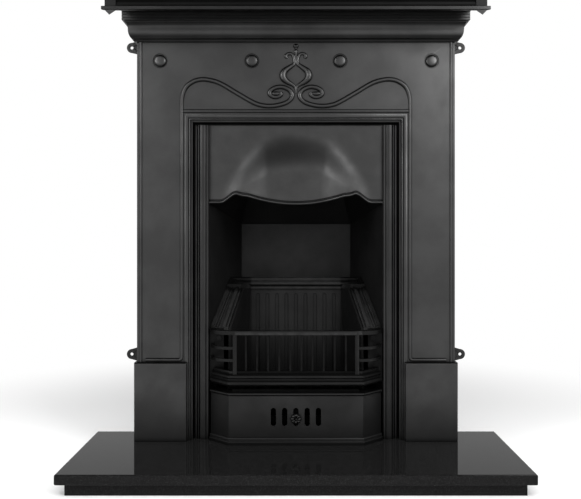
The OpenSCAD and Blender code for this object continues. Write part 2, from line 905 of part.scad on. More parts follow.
// One splayed side of the basket, a plate between its five corners, bent once near the back
module basket_side() {
    a = basket_low_front;
    b = basket_low_back;
    c = basket_top_back;
    d = basket_top_mid;
    e = basket_top_front;
    out = [basket_t, 0, 0];
    color(iron)
        on_hearth()
            polyhedron(
                [a, b, c, d, e, a + out, b + out, c + out, d + out, e + out],
                [
                    [0, 3, 1], [1, 3, 2], [0, 4, 3], [5, 6, 8], [6, 7, 8], [5, 8, 9],
                    [0, 1, 6, 5], [1, 2, 7, 6], [2, 3, 8, 7], [3, 4, 9, 8], [4, 0, 5, 9]
                ]
            );
}

module basket_side_left() {
    mirror([1, 0, 0]) basket_side();
}

module basket_side_right() {
    basket_side();
}

// Moulded rim that caps the basket: a level run at the back and a sloping arm down each side.
// The arm's outer side follows the cheek, and its inner side runs beside the basket's plate.
rim_back_y = 118;
rim_d = 22;
arm_y = [rim_back_y, -50];
arm_z = [458.2, 326];
arm_t = 8;
arm_gap = 1;
function arm_outer(y) = cheek_x(y) - 0.5;
function arm_inner(y) =
    let(
        near = basket_top_front[0] + basket_t + arm_gap,
        far = basket_top_mid[0] + basket_t + arm_gap
    )
    near + (far - near) * (y - basket_top_front[1]) / (basket_top_mid[1] - basket_top_front[1]);

// A layer of the arm: its plan, cut to a band that climbs towards the back
module arm_layer(plan, rise, h) {
    intersection() {
        linear_extrude(height = 600) polygon(plan);
        rotate([90, 0, 90])
            linear_extrude(height = 400)
                polygon([
                    [arm_y[1], arm_z[1] + rise], [arm_y[0], arm_z[0] + rise],
                    [arm_y[0], arm_z[0] + rise + h], [arm_y[1], arm_z[1] + rise + h]
                ]);
    }
}

// A ridge of the arm's moulding, between two distances off the cheek
module outer_ridge(a, b, h) {
    arm_layer([
        [arm_outer(arm_y[1]) - a, arm_y[1]], [arm_outer(arm_y[0]) - a, arm_y[0]],
        [arm_outer(arm_y[0]) - b, arm_y[0]], [arm_outer(arm_y[1]) - b, arm_y[1]]
    ], -1, h + 1);
}

// A ridge between two distances off the arm's inner edge
module inner_ridge(a, b, h) {
    far_y = basket_top_mid[1];
    arm_layer([
        [arm_inner(arm_y[1]) + a, arm_y[1]], [arm_inner(arm_y[1]) + b, arm_y[1]],
        [arm_inner(far_y) + b, far_y], [arm_inner(far_y) + a, far_y]
    ], -1, h + 1);
}

module basket_rim() {
    far_y = basket_top_mid[1];
    color(iron)
        on_hearth() {
            // Back run with a roll and two fillets
            translate([-cheek_x(rim_back_y + rim_d - 8) + 0.5, 0, 0])
                rotate([90, 0, 90])
                    linear_extrude(height = 2 * cheek_x(rim_back_y + rim_d - 8) - 1)
                        translate([rim_back_y - 8, 0])
                            polygon(concat(
                                [[rim_d, 430], [0, 430], [0, 436], [3, 438]],
                                arc([2, 446], 7, 260, 100, 6),
                                [[5, 454], [8, 456], [8, 463], [rim_d, 466]]
                            ));
            both_sides() {
                arm_layer([
                    [arm_inner(arm_y[1]), arm_y[1]], [arm_outer(arm_y[1]), arm_y[1]],
                    [arm_outer(arm_y[0]), arm_y[0]], [arm_inner(arm_y[0]), arm_y[0]]
                ], -arm_t, arm_t);
                outer_ridge(0, 8, 7);
                outer_ridge(0, 13, 4);
                outer_ridge(17, 21, 4);
                inner_ridge(8, 18, 6);
                inner_ridge(0, 3, 3);
                // Corner between the arm and the back run
                translate([0, 0, basket_top_back[2] + 0.4])
                    linear_extrude(height = 16)
                        polygon([
                            [basket_top_back[0] - 4, rim_back_y], [basket_top_back[0] + 2, rim_back_y - 10],
                            [arm_inner(far_y) - 14, far_y + 16], [arm_inner(far_y) + 1, far_y],
                            [arm_outer(far_y), far_y], [arm_outer(rim_back_y), rim_back_y]
                        ]);
            }
        }
}

// Ledges on the cheeks that carry the bottom grate
ledge_front = -60;
ledge_back = 104;

module grate_ledges() {
    color(iron)
        on_hearth()
            both_sides()
                translate([0, 0, grate_z - 22])
                    linear_extrude(height = 6)
                        polygon([
                            [140, ledge_back], [176, ledge_front], [cheek_x(ledge_front), ledge_front],
                            [cheek_x(ledge_back), ledge_back]
                        ]);
}

// Loose bottom grate: a frame of two cross bars and a row of fire bars
grate_bars = 9;
module bottom_grate() {
    back_y = 98;
    front_y = -112;
    half_b = 148;
    half_f = 184;
    color(iron)
        on_hearth()
            translate([0, 0, grate_z - 16]) {
                translate([-half_b, back_y - 12, 0]) cube([2 * half_b, 12, 16]);
                translate([-half_f, front_y, 0]) cube([2 * half_f, 12, 16]);
                for (i = [0:grate_bars - 1])
                    let(s = 2 * i / (grate_bars - 1) - 1, bx = s * (half_b - 6), fx = s * (half_f - 6))
                    linear_extrude(height = 16)
                        polygon([
                            [bx - 5, back_y - 6], [bx + 5, back_y - 6], [fx + 5, front_y + 6],
                            [fx - 5, front_y + 6]
                        ]);
            }
}

// ---- Front bars ---------------------------------------------------------------------------

wing_end_d = bars_front_d - 6 - wing_r;
plate_t = 6;
plate_sink = 2;

// One curved end bar: straight from the post, then a quarter turn back into the end plate
module wing_bar(z, depth, h) {
    translate([wing_x, -wing_end_d + plate_sink, z]) {
        rotate([0, 0, -90])
            rotate_extrude(angle = 90)
                translate([wing_r - depth / 2, 0]) square([depth, h]);
        translate([post_x - wing_x, -wing_r - depth / 2, 0]) cube([wing_x - post_x, depth, h]);
    }
}

// Section of the moulded base: [distance out, height]
function base_profile() = concat(
    [[-10, 0], [4, 0]],
    arc([1, 8], 8, -60, 60, 6),
    [[3, 15.5], [1, 18], [1, 20]],
    arc([-2, 26], 6.5, -50, 60, 6),
    [[-2, 34], [-4, 36], [-4, 42], [-14, 42], [-14, 30], [-10, 24]]
);

base_z = rail_z - 158;

module front_bars() {
    base_end_x = 247.5;
    base_end_d = 79;
    base_corner_x = 192.5;
    base_path = [
        [base_end_x, -base_end_d], [base_corner_x, -bars_front_d],
        [-base_corner_x, -bars_front_d], [-base_end_x, -base_end_d]
    ];
    rail_h = 11;
    rail_w = 16;
    bar_w = 5;
    bar_depth = 8;
    bar_y = -bars_front_d + 4.5;
    post_w = 11;
    plate_x = 214;
    plate_w = 42;
    color(iron)
        on_hearth() {
            // Moulded base
            translate([0, 0, base_z]) mitred_run(base_path, base_profile(), 16, 12);
            // Top rail
            translate([-post_x, -bars_front_d - 2, rail_z - rail_h]) cube([2 * post_x, rail_w, rail_h]);
            // Slender bars
            for (i = [-4.5:1:4.5])
                translate([i * bar_pitch - bar_w / 2, bar_y, base_z + 40])
                    cube([bar_w, bar_depth, rail_z - rail_h - base_z - 38]);
            both_sides() {
                // Corner post
                translate([post_x - post_w / 2, -bars_front_d + 1, base_z + 30])
                    cube([post_w, 12, rail_z - rail_h - base_z - 28]);
                wing_bar(rail_z - rail_h, rail_w - 2, rail_h);
                wing_bar(rail_z - 54, 7, 8);
                wing_bar(rail_z - 89, 7, 8);
                // Block that ties the base to the end plate
                translate([226.3, -80, base_z + 6]) cube([20.4, 12, 22]);
                // End plate with its hanging peg
                translate([plate_x, -wing_end_d, base_z + 4]) cube([plate_w, plate_t, rail_z - base_z - 5]);
                translate([saddle_x, -wing_end_d + plate_t + 9.6, saddle_z])
                    rotate([90, 0, 0]) cylinder(h = plate_t + 9.6 + 3, r = peg_r);
                translate([saddle_x, -wing_end_d + 1, saddle_z])
                    rotate([90, 0, 0]) cylinder(h = 4, d = 15);
            }
        }
}

// Brackets on the frame that hold the pegs in open saddles
module bar_saddles() {
    slot_r = peg_r + run_gap;
    front_y = -wing_end_d + plate_t + run_gap;
    color(iron)
        on_hearth()
            both_sides()
                difference() {
                    translate([0, 0, saddle_z - 14])
                        linear_extrude(height = 24)
                            polygon([
                                [saddle_x - 14, front_y], [half_open, front_y],
                                [half_open, -cheek_front_d], [cheek_x(front_y + 8), front_y + 8],
                                [saddle_x - 14, front_y + 8]
                            ]);
                    translate([saddle_x, front_y - 1, saddle_z])
                        rotate([-90, 0, 0]) cylinder(h = 10, r = slot_r);
                    translate([saddle_x - slot_r, front_y - 1, saddle_z]) cube([2 * slot_r, 10, 20]);
                }
}

// ---- Throat and damper --------------------------------------------------------------------

// A flat web of metal between corner points
module web(corners) {
    hull() {
        for (c = corners) translate(c) cube(collar_t);
    }
}

// Smoke hood between the canopy and the flue, with a collar for the flue
module throat() {
    front_y = -flange_d + flange_t;
    near_y = -collar_d0;
    far_y = -collar_d1;
    t = collar_t;
    roof_z = collar_z - t;
    foot_gap = 0.5;
    slope = (cheek_top - fireback_top) / (firebox_d + cheek_front_d);
    front_foot = [half_open, front_y, cheek_top - slope * (front_y + cheek_front_d) + foot_gap];
    back_foot = [half_back, firebox_d - t, fireback_top + slope * t + foot_gap];
    front_top = [half_open - 8, front_y, roof_z];
    near_top = [collar_half - t, near_y - t, roof_z];
    far_top = [collar_half - t, far_y, roof_z];
    color(iron)
        on_hearth()
            difference() {
                union() {
                    // Back wall, leaning forward
                    hull() {
                        translate([-half_back - t, firebox_d, fireback_top]) cube([2 * half_back + 2 * t, t, t]);
                        translate([-collar_half, far_y, roof_z]) cube([2 * collar_half, t, t]);
                    }
                    // Side walls, three flat webs each
                    both_sides() {
                        web([front_foot, back_foot, far_top]);
                        web([front_foot, far_top, near_top]);
                        web([front_foot, near_top, front_top]);
                    }
                    // Roof from the frame to the collar, and the apron at its front edge
                    translate([-half_open + 2, front_y, roof_z])
                        cube([2 * half_open - 4, near_y - front_y, t]);
                    translate([-half_open + 2, front_y, roof_z]) cube([2 * half_open - 4, t, 70]);
                    // Flue collar
                    translate([-collar_half, near_y - t, roof_z])
                        cube([2 * collar_half, far_y - near_y + 2 * t, collar_h + t]);
                }
                translate([-collar_half + t, near_y, collar_z - 20])
                    cube([2 * collar_half - 2 * t, far_y - near_y, collar_h + 40]);
                translate([-200, damper_y, damper_z])
                    rotate([0, 90, 0]) cylinder(h = 400, r = damper_pin_r + pin_fit);
            }
}

flap_half = collar_half - collar_t - 2;
flap_depth = -(collar_d1 - collar_d0) - 6;
flap_t = 4;

// Butterfly flap that rests flat across the collar, under its pin
module damper_flap() {
    color(iron)
        on_hearth()
            translate([-flap_half, damper_y - flap_depth / 2, damper_z - damper_pin_r - flap_t])
                cube([2 * flap_half, flap_depth, flap_t]);
}

module damper_pin() {
    color(steel)
        on_hearth()
            translate([-collar_half - 8, damper_y, damper_z])
                rotate([0, 90, 0]) cylinder(h = 2 * collar_half + 16, r = damper_pin_r);
}

// Saddles that clip the flap to its pin
module damper_clips() {
    clip_w = 16;
    color(steel)
        on_hearth()
            both_sides()
                translate([60, damper_y, damper_z])
                    rotate([0, 90, 0])
                        difference() {
                            union() {
                                cylinder(h = clip_w, r = damper_pin_r + 4);
                                translate([0, -16, 0]) cube([damper_pin_r, 32, clip_w]);
                            }
                            translate([0, 0, -1]) cylinder(h = clip_w + 2, r = damper_pin_r + pin_fit);
                            translate([damper_pin_r, -30, -1]) cube([30, 60, clip_w + 2]);
                        }
}

// ---- Ash cover, air slide and ash pan -----------------------------------------------------

// Section of the cover: stepped skirting at the foot and a bead along the top
function cover_profile() = concat(
    [[-cover_t, 0], [7, 0], [7, 8]],
    arc([4.5, 9], 2.6, 0, 90, 4),
    [[4, 12.5], [4, 17], [2, 20.5], [0, 21.5], [0, cover_h - 12]],
    arc([0, cover_h - 4.6], 4.6, -85, 85, 6),
    [[-cover_t, cover_h]]
);

cover_path = [
    [cover_half_rear, -cover_rear_d], [cover_half_front, -cover_front_d],
    [-cover_half_front, -cover_front_d], [-cover_half_rear, -cover_rear_d]
];

// A vertical slot with round ends, cut along Y
module air_slot(x, z, w, h, y, depth) {
    translate([x, y, z])
        rotate([-90, 0, 0]) {
            translate([0, (h - w) / 2, 0]) cylinder(h = depth, d = w);
            translate([0, -(h - w) / 2, 0]) cylinder(h = depth, d = w);
            translate([-w / 2, -(h - w) / 2, 0]) cube([w, h - w, depth]);
        }
}

module ash_cover() {
    color(iron)
        on_hearth()
            difference() {
                mitred_run(cover_path, cover_profile(), 6, 9);
                for (i = [-2:2])
                    air_slot(i * slot_pitch, slot_z, slot_w, slot_h, -cover_front_d - 2, cover_t + 4);
            }
}

cover_back_y = -cover_front_d + cover_t;
keeper_x = slide_w / 2 + slide_gap;

// Upright keepers behind the cover that guide the air slide
module slide_keepers() {
    color(iron)
        on_hearth()
            both_sides()
                translate([keeper_x, cover_back_y, 24])
                    linear_extrude(height = cover_h - 30)
                        polygon([
                            [0, 0], [10, 0], [10, slide_t + 2 * slide_gap + 3],
                            [-8, slide_t + 2 * slide_gap + 3], [-8, slide_t + 2 * slide_gap],
                            [0, slide_t + 2 * slide_gap]
                        ]);
}

// Slotted shutter that throttles the air
module air_slide() {
    y = cover_back_y + slide_gap;
    color(iron)
        on_hearth()
            difference() {
                translate([-slide_w / 2, y, knob_z - slide_h / 2]) cube([slide_w, slide_t, slide_h]);
                for (i = [-2, -1, 1, 2])
                    air_slot(i * slot_pitch, slot_z, slot_w + 2, slot_h + 4, y - 1, slide_t + 2);
                translate([0, y - 1, knob_z])
                    rotate([-90, 0, 0]) cylinder(h = slide_t + 2, r = shank_r + bolt_fit);
            }
}

petals = 8;

// Rosette knob with its shank through the middle slot
module rosette_knob() {
    face_y = -cover_front_d - 0.8;
    color(iron)
        on_hearth()
            translate([0, face_y, knob_z])
                rotate([90, 0, 0]) {
                    cylinder(h = 4, d = knob_d);
                    for (i = [0:petals - 1])
                        rotate([0, 0, i * 360 / petals])
                            translate([knob_d * 0.31, 0, 4]) sphere(d = knob_d * 0.22, $fn = 32);
                    translate([0, 0, 4]) sphere(d = knob_d * 0.3, $fn = 32);
                    translate([0, 0, -cover_t - slide_t - 8]) cylinder(h = cover_t + slide_t + 9, r = shank_r);
                }
}

module knob_nut() {
    color(steel)
        on_hearth()
            translate([0, cover_back_y + slide_gap + slide_t, knob_z])
                rotate([-90, 0, 0])
                    difference() {
                        cylinder(h = 4, d = 14, $fn = 6);
                        translate([0, 0, -1]) cylinder(h = 6, r = shank_r + 0.02);
                    }
}

pan_front_d = 112;
pan_len = 216;
pan_t = 2;

module ash_pan() {
    y0 = -pan_front_d;
    color(steel)
        on_hearth()
            difference() {
                translate([-pan_w / 2, y0, 0.3]) cube([pan_w, pan_len, pan_h]);
                translate([-pan_w / 2 + pan_t, y0 + pan_t, 0.3 + pan_t])
                    cube([pan_w - 2 * pan_t, pan_len - 2 * pan_t, pan_h]);
            }
}

handle_half = 38;
handle_z = 42;

// Looped handle on the front of the pan
module pan_handle() {
    y0 = -pan_front_d;
    stand = 8;
    color(steel)
        on_hearth() {
            translate([-handle_half - 8, y0 - 2, handle_z - 9]) cube([16, 2, 18]);
            translate([handle_half - 8, y0 - 2, handle_z - 9]) cube([16, 2, 18]);
            translate([-handle_half - 3, y0 - stand, handle_z - 3]) cube([6, stand - 1, 6]);
            translate([handle_half - 3, y0 - stand, handle_z - 3]) cube([6, stand - 1, 6]);
            translate([-handle_half - 3, y0 - stand - 4, handle_z - 3]) cube([2 * handle_half + 6, 5, 6]);
        }
}

module pan_rivets() {
    color(steel)
        on_hearth()
            both_sides()
                for (dz = [-6, 6])
                    translate([handle_half + 5, -pan_front_d - 2, handle_z + dz])
                        rotate([90, 0, 0]) cylinder(h = 1.5, d = 4);
}

// ---- The assembly -------------------------------------------------------------------------

hearth_slab();
hearth_riser_front();
hearth_riser_left();
hearth_riser_right();
hearth_bed();
back_hearth();
surround_casting();
plinth_left();
plinth_right();
scroll_bead_left();
scroll_bead_right();
frieze_motif();
frieze_bosses();
cornice();
mantel_shelf();
shelf_bolts();
fixing_lugs();
opening_frame();
frame_bolts();
hood();
cheek_left();
cheek_right();
cheek_bolts();
fireback();
basket_back();
basket_side_left();
basket_side_right();
basket_rim();
grate_ledges();
bottom_grate();
front_bars();
bar_saddles();
throat();
damper_flap();
damper_pin();
damper_clips();
ash_cover();
slide_keepers();
air_slide();
rosette_knob();
knob_nut();
ash_pan();
pan_handle();
pan_rivets();
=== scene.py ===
# %% [markdown]
# # A cast iron fireplace
#
# This lesson dresses a CAD model of a combination fireplace: a flat cast surround with raised
# line ornament, a hood over an open basket of fire bars, an ash pan cover, a mantel shelf, and a
# polished granite hearth. The CAD model comes in as a fixed frame of named nodes. Nodes whose
# shape is right keep it and get a material. Nodes that were drawn with few facets get a smoother
# piece here, made from the same measurements. Lengths are in metres, with the wall at y = 0,
# the front towards -Y and the floor at z = 0.

# %% Load the frame
import math

import bmesh
import bpy
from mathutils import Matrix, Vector


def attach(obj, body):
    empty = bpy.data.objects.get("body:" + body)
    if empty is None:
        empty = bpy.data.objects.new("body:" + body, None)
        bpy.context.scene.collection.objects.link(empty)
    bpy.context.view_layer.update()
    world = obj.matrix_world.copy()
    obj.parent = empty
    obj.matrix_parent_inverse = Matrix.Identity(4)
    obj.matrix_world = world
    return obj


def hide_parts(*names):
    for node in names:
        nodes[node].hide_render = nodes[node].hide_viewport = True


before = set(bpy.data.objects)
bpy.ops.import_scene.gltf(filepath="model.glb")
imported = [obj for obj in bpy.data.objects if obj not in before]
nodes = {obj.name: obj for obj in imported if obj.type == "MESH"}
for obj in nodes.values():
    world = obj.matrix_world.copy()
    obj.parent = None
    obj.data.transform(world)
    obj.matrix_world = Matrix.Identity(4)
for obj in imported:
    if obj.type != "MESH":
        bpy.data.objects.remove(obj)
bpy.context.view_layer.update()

# %% [markdown]
# ## Where the camera stands
#
# A level camera keeps upright lines upright, as a careful product photograph does. Its lens
# shift, and not a tilt, places the horizon. The distance, height and lens were worked out from
# the four corners of the hearth slab.

# %% Camera
# Height of the hearth's top
HEARTH = 0.060
SENSOR = 0.036
FRAME_W = 581
FRAME_H = 499
FOCAL_PX = 686.7
HORIZON_X = 295.92
HORIZON_Y = 233.25
CAMERA_AWAY = 2.1097
CAMERA_OVER_HEARTH = 0.6086

camera_data = bpy.data.cameras.new("portrait_camera")
camera_data.sensor_width = SENSOR * 1000
camera_data.lens = FOCAL_PX * SENSOR * 1000 / FRAME_W
camera_data.shift_x = (FRAME_W / 2 - HORIZON_X) / FRAME_W
camera_data.shift_y = (HORIZON_Y - FRAME_H / 2) / FRAME_W
camera = bpy.data.objects.new("portrait_camera", camera_data)
camera.location = (0, -CAMERA_AWAY, HEARTH + CAMERA_OVER_HEARTH)
camera.rotation_euler = (math.radians(90), 0, 0)
bpy.context.scene.collection.objects.link(camera)
bpy.context.scene.camera = camera
bpy.context.scene.view_settings.view_transform = "Standard"
print("lens:", round(camera_data.lens, 2))
print("shift:", round(camera_data.shift_x, 4), round(camera_data.shift_y, 4))

# %% [markdown]
# ## Building shader trees in code
#
# A material is a small graph. A few helpers keep the code for it short: they add a node and set
# its values, join two sockets, do sums, map a range and make noise. Effects that several finishes
# share are node groups, with their own named sockets, so that each finish can set them to its own
# scale and strength.

# %% Shader helpers
# Noise keeps to the middle of its range: these values are taken as its low and its high end
NOISE_SPAN = (0.3, 0.7)


def add_node(tree, kind, values=None, **settings):
    node = tree.nodes.new(kind)
    for key, value in settings.items():
        setattr(node, key, value)
    for key, value in (values or {}).items():
        node.inputs[key].default_value = value
    return node


def join(tree, source, target):
    tree.links.new(source, target)


def new_group(name, inputs, outputs):
    group = bpy.data.node_groups.new(name, "ShaderNodeTree")
    for label, kind, value in inputs:
        socket = group.interface.new_socket(label, in_out="INPUT", socket_type=kind)
        socket.default_value = value
    for label, kind in outputs:
        group.interface.new_socket(label, in_out="OUTPUT", socket_type=kind)
    return group, group.nodes.new("NodeGroupInput"), group.nodes.new("NodeGroupOutput")


def math_node(tree, operation, first, second=None, clamp=False):
    node = add_node(tree, "ShaderNodeMath", operation=operation, use_clamp=clamp)
    for index, value in enumerate((first, second)):
        if value is None:
            continue
        if isinstance(value, (int, float)):
            node.inputs[index].default_value = value
        else:
            join(tree, value, node.inputs[index])
    return node.outputs[0]


def map_range(tree, value, low, high, to_low=0.0, to_high=1.0, kind="SMOOTHSTEP"):
    node = add_node(tree, "ShaderNodeMapRange", interpolation_type=kind)
    join(tree, value, node.inputs["Value"])
    for key, limit in (("From Min", low), ("From Max", high), ("To Min", to_low), ("To Max", to_high)):
        if isinstance(limit, (int, float)):
            node.inputs[key].default_value = limit
        else:
            join(tree, limit, node.inputs[key])
    return node.outputs["Result"]


def noise(tree, place, scale, detail=3.0, roughness=0.5):
    node = add_node(tree, "ShaderNodeTexNoise", {"Detail": detail, "Roughness": roughness})
    join(tree, place, node.inputs["Vector"])
    if isinstance(scale, (int, float)):
        node.inputs["Scale"].default_value = scale
    else:
        join(tree, scale, node.inputs["Scale"])
    return node.outputs["Fac"]


print("shader helpers ready")

# %% [markdown]
# ## The skin of a sand casting
#
# Iron poured into a sand mould keeps the grain of the sand, even under blacking: fine grit a
# millimetre or less across, a few pinholes, and broad soft clouds where the skin was brushed
# more or less. The group gives all three as masks and heights, so that a smooth front plate and
# a rough fireback can share it at different strengths.

# %% Sand-cast skin group
# A pinhole fades out between these distances from its middle, in cells
PINHOLE_EDGE = (0.2, 0.06)
# Pinholes come in patches: the scale of the patches, and the noise between which they begin
PATCH_SCALE = 22.0
PATCH_START = (0.52, 0.7)


def make_casting_skin():
    group, inp, out = new_group(
        "Casting skin",
        [("Grain Scale", "NodeSocketFloat", 900.0), ("Cloud Scale", "NodeSocketFloat", 9.0),
         ("Pinhole Scale", "NodeSocketFloat", 160.0)],
        [("Grain", "NodeSocketFloat"), ("Clouds", "NodeSocketFloat"), ("Height", "NodeSocketFloat")],
    )
    place = add_node(group, "ShaderNodeTexCoord").outputs["Object"]
    grain = noise(group, place, inp.outputs["Grain Scale"], 4.0, 0.6)
    clouds = noise(group, place, inp.outputs["Cloud Scale"], 4.0, 0.55)
    cells = add_node(group, "ShaderNodeTexVoronoi", feature="F1")
    join(group, place, cells.inputs["Vector"])
    join(group, inp.outputs["Pinhole Scale"], cells.inputs["Scale"])
    pinholes = map_range(group, cells.outputs["Distance"], *PINHOLE_EDGE)
    sparse = map_range(group, noise(group, place, PATCH_SCALE, 1.0), *PATCH_START)
    pits = math_node(group, "MULTIPLY", pinholes, sparse)
    height = math_node(group, "SUBTRACT", grain, pits)
    join(group, grain, out.inputs["Grain"])
    join(group, clouds, out.inputs["Clouds"])
    join(group, height, out.inputs["Height"])
    return group


CASTING_SKIN = make_casting_skin()
print("group:", CASTING_SKIN.name, [s.name for s in CASTING_SKIN.interface.items_tree])

# %% [markdown]
# ## Rub and painted highlights on edges
#
# Blacking wears first where a cloth or a hand catches it: on arrises and beads. The lighter colour
# there is partly that rub and partly a painted highlight, for the thin bright lines that edges
# catch. The geometry node's pointiness is high there. The group turns it into a mask that is
# broken up by noise.

# %% Edge rub and highlight group
# Scale of the noise that breaks up the rub and highlight, its low and high end, and the least share it
# leaves
WEAR_AND_GLINT_SCALE = 45.0
WEAR_AND_GLINT_SPAN = (0.3, 0.65)
WEAR_AND_GLINT_LEAST = 0.35


def make_edge_rub_and_highlight():
    group, inp, out = new_group(
        "Edge rub and highlight",
        [("Pointiness", "NodeSocketFloat", 0.5), ("Start", "NodeSocketFloat", 0.54),
         ("Full", "NodeSocketFloat", 0.62)],
        [("Rub And Highlight", "NodeSocketFloat")],
    )
    place = add_node(group, "ShaderNodeTexCoord").outputs["Object"]
    edge = map_range(group, inp.outputs["Pointiness"], inp.outputs["Start"], inp.outputs["Full"])
    wear_and_glint = map_range(group, noise(group, place, WEAR_AND_GLINT_SCALE, 3.0), *WEAR_AND_GLINT_SPAN, WEAR_AND_GLINT_LEAST, 1.0)
    join(group, math_node(group, "MULTIPLY", edge, wear_and_glint, clamp=True), out.inputs["Rub And Highlight"])
    return group


EDGE_RUB_AND_HIGHLIGHT = make_edge_rub_and_highlight()
print("group:", EDGE_RUB_AND_HIGHLIGHT.name)

# %% [markdown]
# ## Starting a material
#
# Each finish starts in the same way: a new material with its Principled shader. Groups are placed
# in its tree, and masks mix one colour into another. Four helpers keep that short.

# %% Material helpers
def start_material(name):
    material = bpy.data.materials.new(name)
    material.use_nodes = True
    tree = material.node_tree
    shader = tree.nodes["Principled BSDF"]
    return material, tree, shader


def group_node(tree, group, **values):
    node = tree.nodes.new("ShaderNodeGroup")
    node.node_tree = group
    for key, value in values.items():
        node.inputs[key.replace("_", " ")].default_value = value
    return node


def mix_colour(tree, share, first, second):
    node = add_node(tree, "ShaderNodeMix", data_type="RGBA")
    join(tree, share, node.inputs["Factor"])
    for socket, value in ((node.inputs[6], first), (node.inputs[7], second)):
        if isinstance(value, tuple):
            socket.default_value = value
        else:
            join(tree, value, socket)
    return node.outputs[2]


def grey(level, warm=0.0):
    return (level * (1 + warm), level, level * (1 - warm), 1.0)


print("material helpers ready")

# %% [markdown]
# ## Painted shade
#
# Undersides, the upper sides of the ornament, creases, the bars behind their front faces, and the
# back corners and low part of the basket are darkened in the colour of the iron. This is painted
# shade, and on the upper sides a painted reflection of a dark ceiling. Such places could be
# painted into an image. Here masks find them instead, so that they stay right when the shape
# changes: from the direction of the surface, from ambient occlusion, and from the place on the
# fireplace.

# %% Tones by place
# Undersides are darkened as painted shade: where the surface turns down (Z of its normal), and its tone
UNDER_START = -0.14
UNDER_FULL = -0.50
UNDER_PAINTED_SHADE = 0.25
# Upper sides of the raised ornament are darkened as painted reflection of a dark ceiling: where the surface
# turns up, and its tone
OVER_START = 0.15
OVER_FULL = 0.55
OVER_PAINTED_SHADE = 0.30
# Creases are darkened as painted shade from ambient occlusion: how far they reach, the open share at their
# darkest and clear, and tone
CREASE_REACH = 0.020
CREASE_DARK = 0.45
CREASE_CLEAR = 0.97
CREASE_PAINTED_SHADE = 0.40
# Painted shade in the fire: its tone, and the places between which it comes on, as clear and dark.
# The bars have it behind their front faces, and the basket in its back corners and low down
FIRE_PAINTED_SHADE = 0.30
BARS_SHADE_DEPTH = (-0.134, -0.1325)
BARS_WIDTH = (0.174, 0.168)
WINGS_SHADE_DEPTH = (-0.085, -0.060)
CORNER_SHADE_SIDE = (0.138, 0.150)
CORNER_DEPTH = (0.060, 0.082)
LOW_SHADE_HEIGHT = (0.42, 0.22)
LOW_PAINTED_SHADE = 0.15


def painted_shade_mask(tree, place, kind):
    """Painted shade of the fire on the bars or on the basket."""
    split = tree.nodes.new("ShaderNodeSeparateXYZ")
    join(tree, place, split.inputs[0])
    x, y, z = (split.outputs[axis] for axis in "XYZ")
    x = math_node(tree, "ABSOLUTE", x)
    if kind == "bars":
        inside = math_node(tree, "MULTIPLY", map_range(tree, y, *BARS_SHADE_DEPTH), map_range(tree, x, *BARS_WIDTH))
        wings = map_range(tree, y, *WINGS_SHADE_DEPTH)
        return map_range(tree, math_node(tree, "MAXIMUM", inside, wings), 0.0, 1.0, 1.0, FIRE_PAINTED_SHADE)
    corner = math_node(tree, "MULTIPLY", map_range(tree, x, *CORNER_SHADE_SIDE), map_range(tree, y, *CORNER_DEPTH))
    corner = map_range(tree, corner, 0.0, 1.0, 1.0, LOW_PAINTED_SHADE)
    return math_node(tree, "MULTIPLY", corner, map_range(tree, z, *LOW_SHADE_HEIGHT, 1.0, LOW_PAINTED_SHADE))


def painted_shade_tone(tree, point, shade_place, under, over, crease):
    """Painted shade on an iron skin by its place: undersides, upper sides, creases and the shaded places of
    the fire.
    """
    facing = tree.nodes.new("ShaderNodeSeparateXYZ")
    join(tree, point.outputs["Normal"], facing.inputs[0])
    below = map_range(tree, facing.outputs["Z"], UNDER_FULL, UNDER_START, under, 1.0)
    above = map_range(tree, facing.outputs["Z"], OVER_START, OVER_FULL, 1.0, over)
    near = add_node(tree, "ShaderNodeAmbientOcclusion", {"Distance": CREASE_REACH}, samples=8)
    creases = map_range(tree, near.outputs["AO"], CREASE_DARK, CREASE_CLEAR, crease, 1.0)
    tone = math_node(tree, "MULTIPLY", math_node(tree, "MULTIPLY", below, above), creases)
    if shade_place:
        tone = math_node(tree, "MULTIPLY", tone, painted_shade_mask(tree, point.outputs["Position"], shade_place))
    return tone


print("tones: under", UNDER_PAINTED_SHADE, "over", OVER_PAINTED_SHADE, "crease", CREASE_PAINTED_SHADE, "shade_place", FIRE_PAINTED_SHADE)

# %% [markdown]
# ## Finishes of the iron
#
# The surround is blackleaded iron: nearly black, with a soft graphite sheen that catches light
# in broad patches. The fire parts are the same metal left duller. The other finishes are lit and
# shaded copies of it: the hood, shelf, strips, cover and bars are darker as painted shade, the
# cornice lighter as painted light, and the fire parts darker still, as painted shade of the deep
# opening. One function builds them all, from their tones, their roughness, the depth of their
# skin and the tones of their painted shade.

# %% Iron finishes
# Skins: depth of the grain and depth of the soft waves
FINE_SKIN = (0.00006, 0.0004)
STRIP_SKIN = (0.00006, 0.0006)
BAR_SKIN = (0.00008, 0.0006)
HOOD_SKIN = (0.00008, 0.0010)
FIRE_SKIN = (0.00018, 0.0010)
# Clouds change the roughness by this much either way, and rubbing takes this much off
CLOUD_ROUGH = 0.04
RUB_POLISH = 0.08


